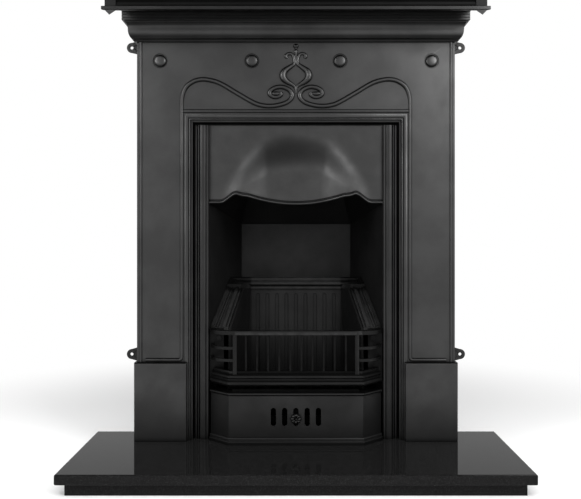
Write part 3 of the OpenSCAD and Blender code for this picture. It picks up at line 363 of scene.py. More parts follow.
def make_iron(name, tones, roughness, depths, metallic=1.0, spec=0.5, shade_place="",
              under=UNDER_PAINTED_SHADE, over=1.0, crease=CREASE_PAINTED_SHADE):
    """An iron finish; tones are those of its dark clouds, its light clouds and its edges, which are
    lightened by rub and by a painted highlight.
    """
    material, tree, shader = start_material(name)
    dark, light, rub_and_glint = (grey(tone) for tone in tones)
    skin = group_node(tree, CASTING_SKIN)
    point = add_node(tree, "ShaderNodeNewGeometry")
    edge = group_node(tree, EDGE_RUB_AND_HIGHLIGHT)
    join(tree, point.outputs["Pointiness"], edge.inputs["Pointiness"])
    base = mix_colour(tree, map_range(tree, skin.outputs["Clouds"], *NOISE_SPAN), dark, light)
    # Edges are lightened: partly rub, partly a painted highlight
    worn_and_lit = mix_colour(tree, edge.outputs["Rub And Highlight"], base, rub_and_glint)
    # Painted shade: the colour is multiplied by the tone of the place
    shade = add_node(tree, "ShaderNodeMix", {"Factor": 1.0}, data_type="RGBA", blend_type="MULTIPLY")
    join(tree, worn_and_lit, shade.inputs[6])
    join(tree, painted_shade_tone(tree, point, shade_place, under, over, crease), shade.inputs[7])
    join(tree, shade.outputs[2], shader.inputs["Base Color"])
    rough = map_range(tree, skin.outputs["Clouds"], *NOISE_SPAN,
                      roughness + CLOUD_ROUGH, roughness - CLOUD_ROUGH)
    polish = math_node(tree, "MULTIPLY", edge.outputs["Rub And Highlight"], RUB_POLISH)
    join(tree, math_node(tree, "SUBTRACT", rough, polish), shader.inputs["Roughness"])
    shader.inputs["Metallic"].default_value = metallic
    shader.inputs["Specular IOR Level"].default_value = spec
    grain_depth, wave_depth = depths
    bump = add_node(tree, "ShaderNodeBump", {"Strength": 1.0, "Distance": grain_depth})
    wave = add_node(tree, "ShaderNodeBump", {"Strength": 1.0, "Distance": wave_depth})
    join(tree, skin.outputs["Clouds"], wave.inputs["Height"])
    join(tree, wave.outputs["Normal"], bump.inputs["Normal"])
    join(tree, skin.outputs["Height"], bump.inputs["Height"])
    join(tree, bump.outputs["Normal"], shader.inputs["Normal"])
    return material


BLACKLEAD = make_iron("blackleaded_iron", (0.042, 0.057, 0.11), 0.40, FINE_SKIN,
                      under=0.35, over=OVER_PAINTED_SHADE)
# Lit and shaded copies of the blacklead: the hood, shelf, strips and cover are darker as painted shade, the
# cornice lighter as painted light
HOOD_IRON = make_iron("hood_iron", (0.038, 0.053, 0.10), 0.50, HOOD_SKIN)
SHELF_IRON = make_iron("shelf_iron", (0.024, 0.032, 0.060), 0.42, FINE_SKIN, crease=0.8)
CORNICE_IRON = make_iron("cornice_iron", (0.050, 0.066, 0.11), 0.40, FINE_SKIN, crease=0.6)
STRIP_IRON = make_iron("strip_iron", (0.028, 0.036, 0.060), 0.46, STRIP_SKIN)
COVER_IRON = make_iron("cover_iron", (0.024, 0.033, 0.060), 0.42, FINE_SKIN, under=0.5, crease=0.5)
# The bars are darker as painted shade, with more painted shade behind their front faces
BAR_IRON = make_iron("bar_iron", (0.015, 0.020, 0.040), 0.48, BAR_SKIN, shade_place="bars",
                     under=0.9, crease=0.8)
# The fire parts are darker as painted shade of the deep opening: the fireback least, the basket more, and
# the cheeks, throat and basket sides most
FIRE_IRON = make_iron("fire_iron", (0.010, 0.017, 0.022), 0.60, FIRE_SKIN, metallic=0.0, spec=0.20)
BASKET_IRON = make_iron("basket_iron", (0.0068, 0.0115, 0.017), 0.60, FIRE_SKIN, metallic=0.0,
                        spec=0.12, shade_place="basket", under=0.4, crease=0.45)
SHADED_RECESS_IRON = make_iron("shaded_recess_iron", (0.0035, 0.0060, 0.009), 0.75, FIRE_SKIN, metallic=0.0, spec=0.08)
# The slide is nearly black as painted shade, so that the slots of the cover read dark
SLIDE_IRON = make_iron("slide_iron", (0.0008, 0.0014, 0.002), 0.80, FIRE_SKIN, metallic=0.0, spec=0.02)
print("finishes:", [m.name for m in bpy.data.materials])

# %% [markdown]
# ## Polished black granite
#
# The hearth is cut from black granite: a dark ground with small grey and pale flecks of mica and
# feldspar, which show where the stone faces the light. The polished top is almost a mirror, and
# reflects the fireplace.

# %% Granite group and finish
# Crystals are cells of one random tone each: the tones between which a cell is a fleck or pale
FLECK_SHARE = (0.60, 0.98)
PALE_SHARE = (0.955, 0.99)
GROUND_SCALE = 130.0
GROUND_DARK = grey(0.004)
GROUND_LIGHT = grey(0.007)
FLECK_GREY = grey(0.014)
PALE_GREY = grey(0.022)
# A hard polish, a little less on the flecks, and a low index that keeps the mirror dark
POLISH = (0.03, 0.06)
POLISH_IOR = 1.155


def make_granite_group():
    group, inp, out = new_group(
        "Granite flecks",
        [("Fleck Scale", "NodeSocketFloat", 620.0)],
        [("Colour", "NodeSocketColor"), ("Flecks", "NodeSocketFloat")],
    )
    place = add_node(group, "ShaderNodeTexCoord").outputs["Object"]
    cells = add_node(group, "ShaderNodeTexVoronoi", feature="F1")
    join(group, place, cells.inputs["Vector"])
    join(group, inp.outputs["Fleck Scale"], cells.inputs["Scale"])
    tone = add_node(group, "ShaderNodeSeparateColor")
    join(group, cells.outputs["Color"], tone.inputs[0])
    flecks = map_range(group, tone.outputs[0], *FLECK_SHARE)
    pale = map_range(group, tone.outputs[1], *PALE_SHARE)
    ground = noise(group, place, GROUND_SCALE, 3.0, 0.6)
    base = mix_colour(group, ground, GROUND_DARK, GROUND_LIGHT)
    mid = mix_colour(group, flecks, base, FLECK_GREY)
    join(group, mix_colour(group, pale, mid, PALE_GREY), out.inputs["Colour"])
    join(group, flecks, out.inputs["Flecks"])
    return group


GRANITE_FLECKS = make_granite_group()


def make_granite():
    material, tree, shader = start_material("polished_granite")
    flecks = group_node(tree, GRANITE_FLECKS)
    join(tree, flecks.outputs["Colour"], shader.inputs["Base Color"])
    join(tree, map_range(tree, flecks.outputs["Flecks"], 0.0, 1.0, *POLISH), shader.inputs["Roughness"])
    shader.inputs["IOR"].default_value = POLISH_IOR
    return material


GRANITE = make_granite()
print("finish:", GRANITE.name)

# %% [markdown]
# ## Concrete and plain steel
#
# The bed under the slab is cast concrete, with bubbles and a sandy face. The pan, the slide and
# the fixings are mild steel: brushed grain, and a little uneven in tone. The steel of the pan and
# its small parts is made nearly black as painted shade, so that it reads dark through the slots
# of the cover.

# %% Concrete and steel finishes
CONCRETE_DARK = grey(0.24, 0.02)
CONCRETE_LIGHT = grey(0.36, 0.03)
CONCRETE_SAND = grey(0.30, 0.03)
CONCRETE_ROUGH = (0.8, 0.95)
CONCRETE_DEPTH = 0.0005
# Brush marks run along X: the noise is stretched by these scales
BRUSH_SCALE = (12.0, 700.0, 700.0)
BRUSH_DEPTH = 0.00004
STEEL_ROUGH = (0.34, 0.50)


def make_concrete():
    material, tree, shader = start_material("cast_concrete")
    skin = group_node(tree, CASTING_SKIN, Grain_Scale=260.0, Cloud_Scale=14.0, Pinhole_Scale=70.0)
    base = mix_colour(tree, skin.outputs["Clouds"], CONCRETE_DARK, CONCRETE_LIGHT)
    join(tree, mix_colour(tree, skin.outputs["Grain"], base, CONCRETE_SAND), shader.inputs["Base Color"])
    rough = map_range(tree, skin.outputs["Grain"], *NOISE_SPAN, *CONCRETE_ROUGH)
    join(tree, rough, shader.inputs["Roughness"])
    bump = add_node(tree, "ShaderNodeBump", {"Strength": 1.0, "Distance": CONCRETE_DEPTH})
    join(tree, skin.outputs["Height"], bump.inputs["Height"])
    join(tree, bump.outputs["Normal"], shader.inputs["Normal"])
    return material


def make_steel(name, dark, light, metallic):
    material, tree, shader = start_material(name)
    place = add_node(tree, "ShaderNodeTexCoord").outputs["Object"]
    stretch = add_node(tree, "ShaderNodeMapping")
    stretch.inputs["Scale"].default_value = BRUSH_SCALE
    join(tree, place, stretch.inputs["Vector"])
    brushing = noise(tree, stretch.outputs["Vector"], 1.0, 3.0)
    patches = noise(tree, place, 16.0, 4.0)
    join(tree, mix_colour(tree, patches, grey(dark), grey(light)), shader.inputs["Base Color"])
    join(tree, map_range(tree, brushing, *NOISE_SPAN, *STEEL_ROUGH), shader.inputs["Roughness"])
    shader.inputs["Metallic"].default_value = metallic
    bump = add_node(tree, "ShaderNodeBump", {"Strength": 0.6, "Distance": BRUSH_DEPTH})
    join(tree, brushing, bump.inputs["Height"])
    join(tree, bump.outputs["Normal"], shader.inputs["Normal"])
    return material


CONCRETE = make_concrete()
STEEL = make_steel("mild_steel", 0.14, 0.22, 0.9)
# The pan and its small parts are nearly black as painted shade
PAN_STEEL = make_steel("shaded_pan_steel", 0.001, 0.002, 1.0)
print("finishes:", CONCRETE.name, STEEL.name, PAN_STEEL.name)

# %% [markdown]
# ## Eased edges
#
# No casting has a knife edge: sand and a wire brush leave a radius of about a millimetre, and
# the thin bright lines along the mouldings of a real fireplace are that radius catching light.
# The CAD nodes are drawn sharp. A weld joins their facets, a bevel rounds only the real corners,
# and weighted normals keep the flat faces flat. The nodes' own vertices don't change.

# %% Ease the edges of the nodes
WELD_REACH = 0.00002
EASE_ANGLE = 28
LEVEL_WEIGHT = 60


def ease(obj, width):
    weld = obj.modifiers.new("weld", "WELD")
    weld.merge_threshold = WELD_REACH
    if width:
        bevel = obj.modifiers.new("ease", "BEVEL")
        bevel.width = width
        bevel.segments = 2
        bevel.limit_method = "ANGLE"
        bevel.angle_limit = math.radians(EASE_ANGLE)
        bevel.use_clamp_overlap = True
        bevel.harden_normals = False
    level = obj.modifiers.new("level", "WEIGHTED_NORMAL")
    level.weight = LEVEL_WEIGHT
    level.keep_sharp = False


def finish_node(name, material, width):
    obj = nodes[name]
    obj.data.materials.clear()
    obj.data.materials.append(material)
    ease(obj, width)


# A finish, the width of its eased edges, and the nodes that have both
FINISHES = [
    (BLACKLEAD, 0.0009, ["surround_casting"]),
    (BLACKLEAD, 0.0012, ["plinth_left", "plinth_right"]),
    (BLACKLEAD, 0.0, ["scroll_bead_left", "scroll_bead_right", "frieze_motif", "frieze_bosses"]),
    (CORNICE_IRON, 0.0006, ["cornice"]),
    (SHELF_IRON, 0.0008, ["mantel_shelf"]),
    (STRIP_IRON, 0.0006, ["opening_frame"]),
    (STRIP_IRON, 0.0010, ["fixing_lugs"]),
    (HOOD_IRON, 0.0, ["hood"]),
    (COVER_IRON, 0.0008, ["ash_cover"]),
    (COVER_IRON, 0.0, ["rosette_knob"]),
    (BAR_IRON, 0.0020, ["front_bars"]),
    (BAR_IRON, 0.0008, ["bar_saddles"]),
    (BASKET_IRON, 0.0015, ["basket_rim"]),
    (BASKET_IRON, 0.0010, ["basket_back", "bottom_grate"]),
    (BASKET_IRON, 0.0008, ["grate_ledges"]),
    (SHADED_RECESS_IRON, 0.0010, ["basket_side_left", "basket_side_right", "cheek_left", "cheek_right", "throat"]),
    (FIRE_IRON, 0.0010, ["fireback"]),
    (FIRE_IRON, 0.0006, ["damper_flap"]),
    (FIRE_IRON, 0.0004, ["damper_clips"]),
    (SLIDE_IRON, 0.0004, ["air_slide"]),
    (PAN_STEEL, 0.0004, ["ash_pan", "pan_handle"]),
    (PAN_STEEL, 0.0003, ["slide_keepers"]),
    (PAN_STEEL, 0.0, ["pan_rivets", "knob_nut"]),
    (STEEL, 0.0003, ["shelf_bolts", "frame_bolts", "cheek_bolts"]),
    (STEEL, 0.0, ["damper_pin"]),
    (GRANITE, 0.0010, ["hearth_slab"]),
    (GRANITE, 0.0008, ["hearth_riser_front", "hearth_riser_left", "hearth_riser_right", "back_hearth"]),
    (CONCRETE, 0.0010, ["hearth_bed"]),
]
for material, width, names in FINISHES:
    for name in names:
        finish_node(name, material, width)
finished = [name for _, _, names in FINISHES for name in names]
print("finished nodes:", len(finished), "left:", sorted(set(nodes) - set(finished)))

# %% [markdown]
# ## Smoother pieces
#
# The hood, the long beads, the frieze motif, the bosses and the knob are curved all over. Each is
# made again here from a mesh of its own, from the same measurements as the CAD, and stands for
# its node.

# %% Mesh helpers
SAME_POINT = 1e-6


def make_piece(name, shape, body, material, replaces, angle):
    """A piece from points and faces. It rides a body and stands for its nodes."""
    points, faces = shape
    mesh = bpy.data.meshes.new(name)
    mesh.from_pydata(points, [], faces)
    mesh.validate()
    work = bmesh.new()
    work.from_mesh(mesh)
    bmesh.ops.remove_doubles(work, verts=work.verts, dist=SAME_POINT)
    bmesh.ops.recalc_face_normals(work, faces=work.faces)
    work.to_mesh(mesh)
    work.free()
    mesh.materials.append(material)
    mesh.shade_smooth()
    mesh.set_sharp_from_angle(angle=math.radians(angle))
    obj = bpy.data.objects.new(name, mesh)
    bpy.context.scene.collection.objects.link(obj)
    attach(obj, body)
    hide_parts(*replaces)
    return obj


def smooth(t):
    """0 below 0, 1 above 1, and a soft S between."""
    s = max(0.0, min(1.0, t))
    return s * s * (3 - 2 * s)


def between(pair, share):
    return pair[0] + (pair[1] - pair[0]) * share


def grid_faces(rows, cols, closed=False):
    """Quads between rows of points; closed joins the last column to the first."""
    faces = []
    for j in range(rows - 1):
        for i in range(cols if closed else cols - 1):
            k = (i + 1) % cols
            faces.append((j * cols + i, j * cols + k, (j + 1) * cols + k, (j + 1) * cols + i))
    return faces


def merge(shapes):
    """Several shapes as one."""
    points = []
    faces = []
    for more_points, more_faces in shapes:
        start = len(points)
        points += more_points
        faces += [tuple(start + k for k in face) for face in more_faces]
    return points, faces


print("mesh helpers ready")

# %% [markdown]
# ## The hood
#
# The hood is one thin casting. Its plate swells out into a canopy below a soft brow, drops sheer
# to a waved lip, and ends in a quirk and a round bead. Two formulas give its shape: the height of the
# lip, and how far the plate stands out.

# %% Shape of the hood
HOOD_TOP = 0.928
HOOD_HALF = 0.2578
HOOD_DEPTH = 0.070
HOOD_THICK = 0.005
LIP_Z = 0.6894
PEAK_X = 0.175
PEAK_RISE = 0.0376
# The wave rounds off towards its peaks: from this place on, and by this much
ROUND_FROM = 0.110
ROUND_OFF = 0.0055
TAIL_X = 0.225
TAIL_RISE = 0.0065
CANOPY_OUT = 0.042
BROW_Z = HOOD_TOP - 0.016
# Fall of the brow at a tenth of a metre from the middle
BROW_ARCH = 0.020
SWELL = 0.125
# Lower down the canopy is wider, and the flat share of its width smaller
WIDEN_Z = BROW_Z - 0.045
WIDEN_OVER = 0.135
CANOPY_HALF = (0.160, 0.226)
CANOPY_FLAT = (0.52, 0.30)


def lip_height(x):
    a = abs(x)
    if a < PEAK_X:
        rounding = math.sin(math.pi / 2 * smooth((a - ROUND_FROM) / (PEAK_X - ROUND_FROM))) ** 6
        return LIP_Z + PEAK_RISE * (a / PEAK_X) ** 2 - ROUND_OFF * rounding
    rest = 1 - smooth((a - PEAK_X) / (TAIL_X - PEAK_X))
    return LIP_Z + TAIL_RISE + (PEAK_RISE - ROUND_OFF - TAIL_RISE) * rest


def canopy(x, z):
    """How far the plate stands out at a place."""
    lower = smooth((WIDEN_Z - z) / WIDEN_OVER)
    half = between(CANOPY_HALF, lower)
    flat = between(CANOPY_FLAT, lower)
    brow = BROW_Z - BROW_ARCH * (x / 0.100) ** 2
    side_fall = smooth((abs(x) / half - flat) / (1 - flat))
    return CANOPY_OUT * smooth((brow - z) / SWELL) * (1 - side_fall)


print("lip in mm at the middle, a peak and a tail:",
      [round(lip_height(x) * 1000, 1) for x in (0.0, PEAK_X, TAIL_X)])

# %% [markdown]
# ## The hood as a mesh
#
# A grid whose rows follow the lip gives even quads along the wave, and its last rows make the
# quirk and the bead. A second sheet behind closes it, as thick as the casting.

# %% Hood mesh
RIM_H = 0.013
# The quirk over the bead of the rim: height over the lip, and rise of the surface
QUIRK = [(0.0128, 0.0), (0.0118, -0.0006), (0.0108, -0.0014), (0.0098, -0.0014), (0.0089, -0.0004)]
RIM_BEAD_R = 0.0042
RIM_BEAD_UP = 0.0046
RIM_BEAD_OUT = 0.0002
PLATE_ROWS = 70
HOOD_COLS = 161


def hood_front(rim):
    """Points of the front sheet, row by row: the plate, then the rim. Every row follows the lip."""
    points = []
    for row in range(PLATE_ROWS + len(rim)):
        for col in range(HOOD_COLS):
            x = -HOOD_HALF + 2 * HOOD_HALF * col / (HOOD_COLS - 1)
            lip = lip_height(x)
            if row < PLATE_ROWS:
                z = HOOD_TOP + (lip + RIM_H - HOOD_TOP) * row / PLATE_ROWS
                rise = 0.0
            else:
                up, rise = rim[row - PLATE_ROWS]
                z = lip + up
            points.append((x, -HOOD_DEPTH - canopy(x, z) - rise, HEARTH + z))
    return points


def make_hood():
    turns = [math.radians(degrees) for degrees in range(0, 181, 15)]
    rim = QUIRK + [(RIM_BEAD_UP + RIM_BEAD_R * math.cos(a), RIM_BEAD_OUT + RIM_BEAD_R * math.sin(a))
                   for a in turns]
    rows = PLATE_ROWS + len(rim)
    front = hood_front(rim)
    back = [(x, HOOD_THICK - HOOD_DEPTH - canopy(x, z - HEARTH), z) for x, _, z in front]
    sheet = grid_faces(rows, HOOD_COLS)
    behind = len(front)
    faces = sheet + [tuple(behind + k for k in reversed(quad)) for quad in sheet]
    # The edge is closed all round: the top and the bottom row, then both sides
    low = (rows - 1) * HOOD_COLS
    for a in range(HOOD_COLS - 1):
        faces.append((a, behind + a, behind + a + 1, a + 1))
        faces.append((low + a + 1, behind + low + a + 1, behind + low + a, low + a))
    for row in range(rows - 1):
        a = row * HOOD_COLS
        b = a + HOOD_COLS
        faces.append((b, behind + b, behind + a, a))
        a = a + HOOD_COLS - 1
        b = b + HOOD_COLS - 1
        faces.append((a, behind + a, behind + b, b))
    shape = (front + back, faces)
    return make_piece("hood_casting", shape, "fireplace", HOOD_IRON, ["hood"], 50)


hood = make_hood()
print("hood faces:", len(hood.data.polygons))

# %% [markdown]
# ## Raised line ornament
#
# The long beads and the motif are relief: half-round lines that stand on the flat of the
# casting. A section is swept along each centre line. The line itself is a smooth curve through
# a few points, and the width changes along it. Its points and widths are in millimetres, with
# heights from the hearth's top.

# %% Swept relief
FACE_Y = -0.092
# Relief and bosses reach this far into the casting
SINK = 0.001
RELIEF_SIDES = 12
CURVE_STEPS = 10


def curve_points(points, steps=CURVE_STEPS):
    """A smooth curve through the points, with so many steps from one to the next."""
    result = []
    last = len(points) - 1
    for i in range(last):
        p0, p1 = points[max(i - 1, 0)], points[i]
        p2, p3 = points[i + 1], points[min(i + 2, last)]
        for s in range(steps):
            t = s / steps
            result.append(tuple(
                0.5 * (2 * p1[k] + (p2[k] - p0[k]) * t + (2 * p0[k] - 5 * p1[k] + 4 * p2[k] - p3[k]) * t * t
                       + (3 * p1[k] - p0[k] - 3 * p2[k] + p3[k]) * t ** 3) for k in (0, 1)))
    result.append(tuple(points[-1]))
    return result


def arc_points(centre, radius, start, stop, steps):
    angles = [math.radians(start + (stop - start) * i / steps) for i in range(steps + 1)]
    return [(centre[0] + radius * math.cos(a), centre[1] + radius * math.sin(a)) for a in angles]


def relief(line, widths, rise, mirror=False):
    """A half-round line on the face of the casting; rise is a share of half its width."""
    points = []
    last = len(line) - 1
    for i, (x, z) in enumerate(line):
        before = line[max(i - 1, 0)]
        after = line[min(i + 1, last)]
        step = math.dist(before, after)
        side = ((after[1] - before[1]) / step, (before[0] - after[0]) / step)
        half = widths[i] / 2
        section = []
        for s in range(RELIEF_SIDES + 1):
            a = math.pi * s / RELIEF_SIDES
            across = half * math.cos(a)
            out = half * rise * math.sin(a) ** 0.9
            px = (x + side[0] * across) / 1000
            pz = HEARTH + (z + side[1] * across) / 1000
            section.append((-px if mirror else px, FACE_Y - out / 1000, pz))
        points += section
        # Two points inside the casting close the section
        points += [(px, FACE_Y + SINK, pz) for px, _, pz in (section[-1], section[0])]
    ring = RELIEF_SIDES + 3
    faces = grid_faces(last + 1, ring, closed=True)
    faces.append(tuple(range(ring)))
    faces.append(tuple(reversed(range(last * ring, (last + 1) * ring))))
    return points, faces


print("relief: half-round with", RELIEF_SIDES, "sides")

# %% [markdown]
# ## The long beads
#
# Each bead starts beside its plinth, bends up, follows the opening and turns over a shoulder.
# Then it sweeps down to the middle and ends in a scroll. One function makes the left bead, and
# its mirror image on the right.

# %% Long beads
BEAD_X = 335.7
BEAD_Z = 967.5
BEAD_W = 9.6
FOOT = (-441, 237)
FOOT_BEND = 7
SHOULDER_MORE = 3.6
SCROLL_LESS = 1.2
# A point part way up the straight part beside the opening
UPRIGHT_Z = 600
SCROLL = [
    (-335.7, 985), (-334.7, 1005.7), (-326.2, 1032.4), (-311.5, 1048.3), (-289.5, 1058.6), (-262, 1060),
    (-223.7, 1049.5), (-175.2, 1021.3), (-126.4, 993.4), (-102, 984.8), (-77.6, 982.3), (-53.2, 984.8),
    (-28.9, 992.2), (-15, 1003), (-10.8, 1015), (-18, 1028), (-32, 1036), (-46, 1038.5), (-61, 1036),
    (-73, 1029), (-77.4, 1020.5), (-73, 1013), (-62, 1008.8), (-50.5, 1010.6), (-43.8, 1016.0),
    (-45.0, 1021.0),
]
BEAD_RISE = 0.85
# A bud fills the middle of the scroll
BUD = [(-75.5, 1019.8), (-66, 1018.8), (-56, 1018.8), (-47, 1019.4)]
BUD_W = [5, 12, 13, 8]
BUD_RISE = 0.75
# Shares of the curve: up to the first the bead widens, and from the second on it thins
WIDE_BY = 0.12
THIN_FROM = 0.72


def make_scroll_bead(name, node, mirror):
    bend = arc_points((-BEAD_X - FOOT_BEND, FOOT[1] + FOOT_BEND), FOOT_BEND, 270, 360, 10)
    start = [FOOT] + bend + [(-BEAD_X, UPRIGHT_Z)]
    line = start + curve_points(SCROLL)
    widths = []
    for i in range(len(line)):
        t = max(0.0, (i - len(start)) / (len(line) - 1 - len(start)))
        more = SHOULDER_MORE * smooth(t / WIDE_BY)
        less = SCROLL_LESS * smooth((t - THIN_FROM) / (1 - THIN_FROM))
        widths.append(BEAD_W + more - less)
    shape = merge([relief(line, widths, BEAD_RISE, mirror), relief(BUD, BUD_W, BUD_RISE, mirror)])
    return make_piece(name, shape, "fireplace", BLACKLEAD, [node], 60)


beads = [make_scroll_bead("long_bead_left", "scroll_bead_left", False),
         make_scroll_bead("long_bead_right", "scroll_bead_right", True)]
print("bead faces:", [len(b.data.polygons) for b in beads])

# %% [markdown]
# ## The motif over the opening
#
# Two strands mirror each other: each curls over at the top as a leaf, drops through the neck,
# swells round the bulb and tapers into the spike. A budded finial stands on the neck, and a
# straight bead runs below.

# %% Frieze motif
STRAND = [
    (-25.9, 1122.9), (-29.4, 1129.1), (-25.3, 1134.3), (-18.8, 1136.4), (-12.0, 1134.3), (-7.3, 1128.2),
    (-4.7, 1119.7), (-4.3, 1111.4), (-7.3, 1104.1), (-14.7, 1098.8), (-25.3, 1091.5), (-34.1, 1084.1),
    (-38.2, 1073.5), (-35.2, 1063.0), (-25.3, 1053.6), (-12.6, 1046.2), (-4.6, 1040), (-1.4, 1031.5),
    (-0.5, 1020),
]
# Width of the strand at each of its points
STRAND_W = [
    8.0, 10.4, 9.6, 9.2, 9.4, 9.8, 10.0, 10.2, 11.2, 12.6, 15.4, 18.2, 20.0, 19.2, 15.4, 11.4, 9.0, 7.0, 3.5,
]
STRAND_RISE = 0.80
# A rib runs along the bulb, between these shares of the strand: its width at the ends, and how much
# wider it is in the middle
RIB_SPAN = (0.52, 0.80)
RIB_END_W = 0.5
RIB_MORE_W = 6.0
RIB_RISE = 2.9
# Width and height of the finial, from the neck up
FINIAL = [
    (3, 1119), (5, 1129), (8.5, 1136), (11.5, 1143), (9, 1147), (6.5, 1150), (12, 1154), (16, 1158),
    (13, 1161), (4, 1165),
]
FINIAL_RISE = 0.75
FINIAL_LEAST_W = 1.0
STRAIGHT_RISE = 0.8


def strand_width(place):
    """Width at a place along the strand, counted in its points."""
    k = min(int(place), len(STRAND_W) - 2)
    return between((STRAND_W[k], STRAND_W[k + 1]), place - k)


def make_motif():
    strand = curve_points(STRAND)
    last = len(strand) - 1
    widths = [strand_width(i * (len(STRAND_W) - 1) / last) for i in range(last + 1)]
    rib = strand[int(last * RIB_SPAN[0]):int(last * RIB_SPAN[1]) + 1]
    rib_widths = [RIB_END_W + RIB_MORE_W * math.sin(math.pi * i / (len(rib) - 1)) for i in range(len(rib))]
    parts = [relief(strand, widths, STRAND_RISE, mirror) for mirror in (False, True)]
    parts += [relief(rib, rib_widths, RIB_RISE, mirror) for mirror in (False, True)]
    finial = curve_points(FINIAL, 8)
    finial_widths = [max(w, FINIAL_LEAST_W) for w, _ in finial]
    parts.append(relief([(0.0, z) for _, z in finial], finial_widths, FINIAL_RISE))
    half = BEAD_X - BEAD_W / 2
    parts.append(relief([(-half, BEAD_Z), (0, BEAD_Z), (half, BEAD_Z)], [BEAD_W] * 3, STRAIGHT_RISE))
    shape = merge(parts)
    return make_piece("frieze_ornament", shape, "fireplace", BLACKLEAD, ["frieze_motif"], 60)


motif = make_motif()
print("motif faces:", len(motif.data.polygons))

# %% [markdown]
# ## Bosses
#
# The four bosses of the frieze are low domes that drop over a tight edge to the face. Each is a
# surface over a disc, written in polar form: a profile says how far out and how high it is.

# %% Bosses
BOSS_X = (0.1295, 0.399)
BOSS_Z = 1.115
BOSS_R = 0.0180
BOSS_RISE = 0.0068
# Share of the rise by which a boss has fallen near its edge, before it drops
BOSS_FALL = 0.22
BOSS_SPOKES = 48
# Rings of a boss, closer together at its tight edge
BOSS_RINGS = (0.12, 0.25, 0.4, 0.55, 0.68, 0.78, 0.86, 0.92, 0.96, 0.985, 0.998, 1.0)


def disc_surface(centre, radii, profile, spokes):
    """A closed form over a disc that faces the viewer; profile(r, angle) gives reach and rise."""
    x, y, z = centre
    points = []
    for r in radii:
        for k in range(spokes):
            a = 2 * math.pi * k / spokes
            reach, rise = profile(r, a)
            points.append((x + reach * math.cos(a), y - rise, z + reach * math.sin(a)))
    faces = [tuple(reversed(quad)) for quad in grid_faces(len(radii), spokes, closed=True)]
    middle = len(points)
    points.append((x, y - profile(0.0, 0.0)[1], z))
    faces += [(middle, k, (k + 1) % spokes) for k in range(spokes)]
    last = (len(radii) - 1) * spokes
    faces.append(tuple(last + k for k in range(spokes)))
    return points, faces


def boss_profile(r, angle):
    t = r / BOSS_R
    if t >= 1.0:
        return BOSS_R, -SINK
    return r, BOSS_RISE * (1 - t ** 6) ** 0.5 * (1 - BOSS_FALL * t * t)


def make_bosses():
    radii = [BOSS_R * ring for ring in BOSS_RINGS]
    shape = merge([disc_surface((side * x, FACE_Y, HEARTH + BOSS_Z), radii, boss_profile, BOSS_SPOKES)
                   for side in (-1, 1) for x in BOSS_X])
    return make_piece("boss_domes", shape, "fireplace", BLACKLEAD, ["frieze_bosses"], 60)


domes = make_bosses()
print("boss faces:", len(domes.data.polygons))

# %% [markdown]
# ## The rosette knob
#
# The knob of the air slide is a rosette: a button, eight petals with hollows between them, and a
# thin scalloped rim. It is a surface over a disc too, with a profile that changes with the angle.
# A plain shank reaches back to the slide.

# %% Rosette knob
KNOB_Z = 0.075
KNOB_R = 0.0158
KNOB_FACE = -0.1348
KNOB_RISE = 0.0040
KNOB_SPOKES = 96
KNOB_RINGS = 24
KNOB_EDGE = 0.985
# The button takes this share of the radius; a hollow keeps this share of a petal's rise
BUTTON = 0.24
BUTTON_RISE = 0.0048
PETAL_RISE = 0.0034
HOLLOW = 0.25
SCALLOP = 0.07
SHANK_SPOKES = 24
SHANK_R = 0.0039
# The last ring of the shank lies over the one before it and turns the wall back to the knob
SHANK_END = 0.00391
SHANK_RINGS = (0.002, SHANK_R, SHANK_END)
SHANK_LENGTH = 0.0155


def knob_profile(r, angle):
    petal = abs(math.cos(4 * angle))
    t = r / KNOB_R
    if t >= 1.0:
        return KNOB_R * (1 - SCALLOP * (1 - petal)), 0.0
    button = BUTTON_RISE * math.sqrt(max(0.0, 1 - (t / BUTTON) ** 2))
    leaf = 0.0
    if t > BUTTON:
        along = min(1.0, 1.02 * (t - BUTTON) / (1 - BUTTON))
        leaf = PETAL_RISE * math.sin(math.pi * along) ** 0.6 * between((HOLLOW, 1.0), petal ** 0.7)
    body = KNOB_RISE * (1 - t ** 8) ** 0.5
    return r * (1 - SCALLOP * (1 - petal) * t * t), body + max(button, leaf)


def shank_profile(r, angle):
    return min(r, SHANK_R), SHANK_LENGTH if r < SHANK_END else 0.0


def make_knob():
    radii = [KNOB_R * ring / KNOB_RINGS for ring in range(1, KNOB_RINGS)] + [KNOB_R * KNOB_EDGE, KNOB_R]
    z = HEARTH + KNOB_Z
    rosette = disc_surface((0.0, KNOB_FACE, z), radii, knob_profile, KNOB_SPOKES)
    shank = disc_surface((0.0, KNOB_FACE + SHANK_LENGTH, z), SHANK_RINGS, shank_profile, SHANK_SPOKES)
    shape = merge([rosette, shank])
    return make_piece("rosette", shape, "air_slide", COVER_IRON, ["rosette_knob"], 50)


knob = make_knob()
print("knob faces:", len(knob.data.polygons))

# %% [markdown]
# ## Light
#
# A black object is seen by what it reflects. Two large soft lamps at the front left and right
# give the long sheen down the jambs and the two bright patches on the hood. A lamp overhead
# lights the floor and doesn't show in reflections.

# %% Lamps
AIM = (0, 0, 0.85)
SOFTBOX_SIZE = (1.0, 1.2)


def area_lamp(name, place, aim, size, power):
    data = bpy.data.lights.new(name, "AREA")
    data.shape = "RECTANGLE"
    data.size, data.size_y = size
    data.energy = power
    lamp = bpy.data.objects.new(name, data)
    lamp.location = place
    lamp.rotation_euler = (Vector(aim) - Vector(place)).to_track_quat("-Z", "Y").to_euler()
    bpy.context.scene.collection.objects.link(lamp)
    return lamp


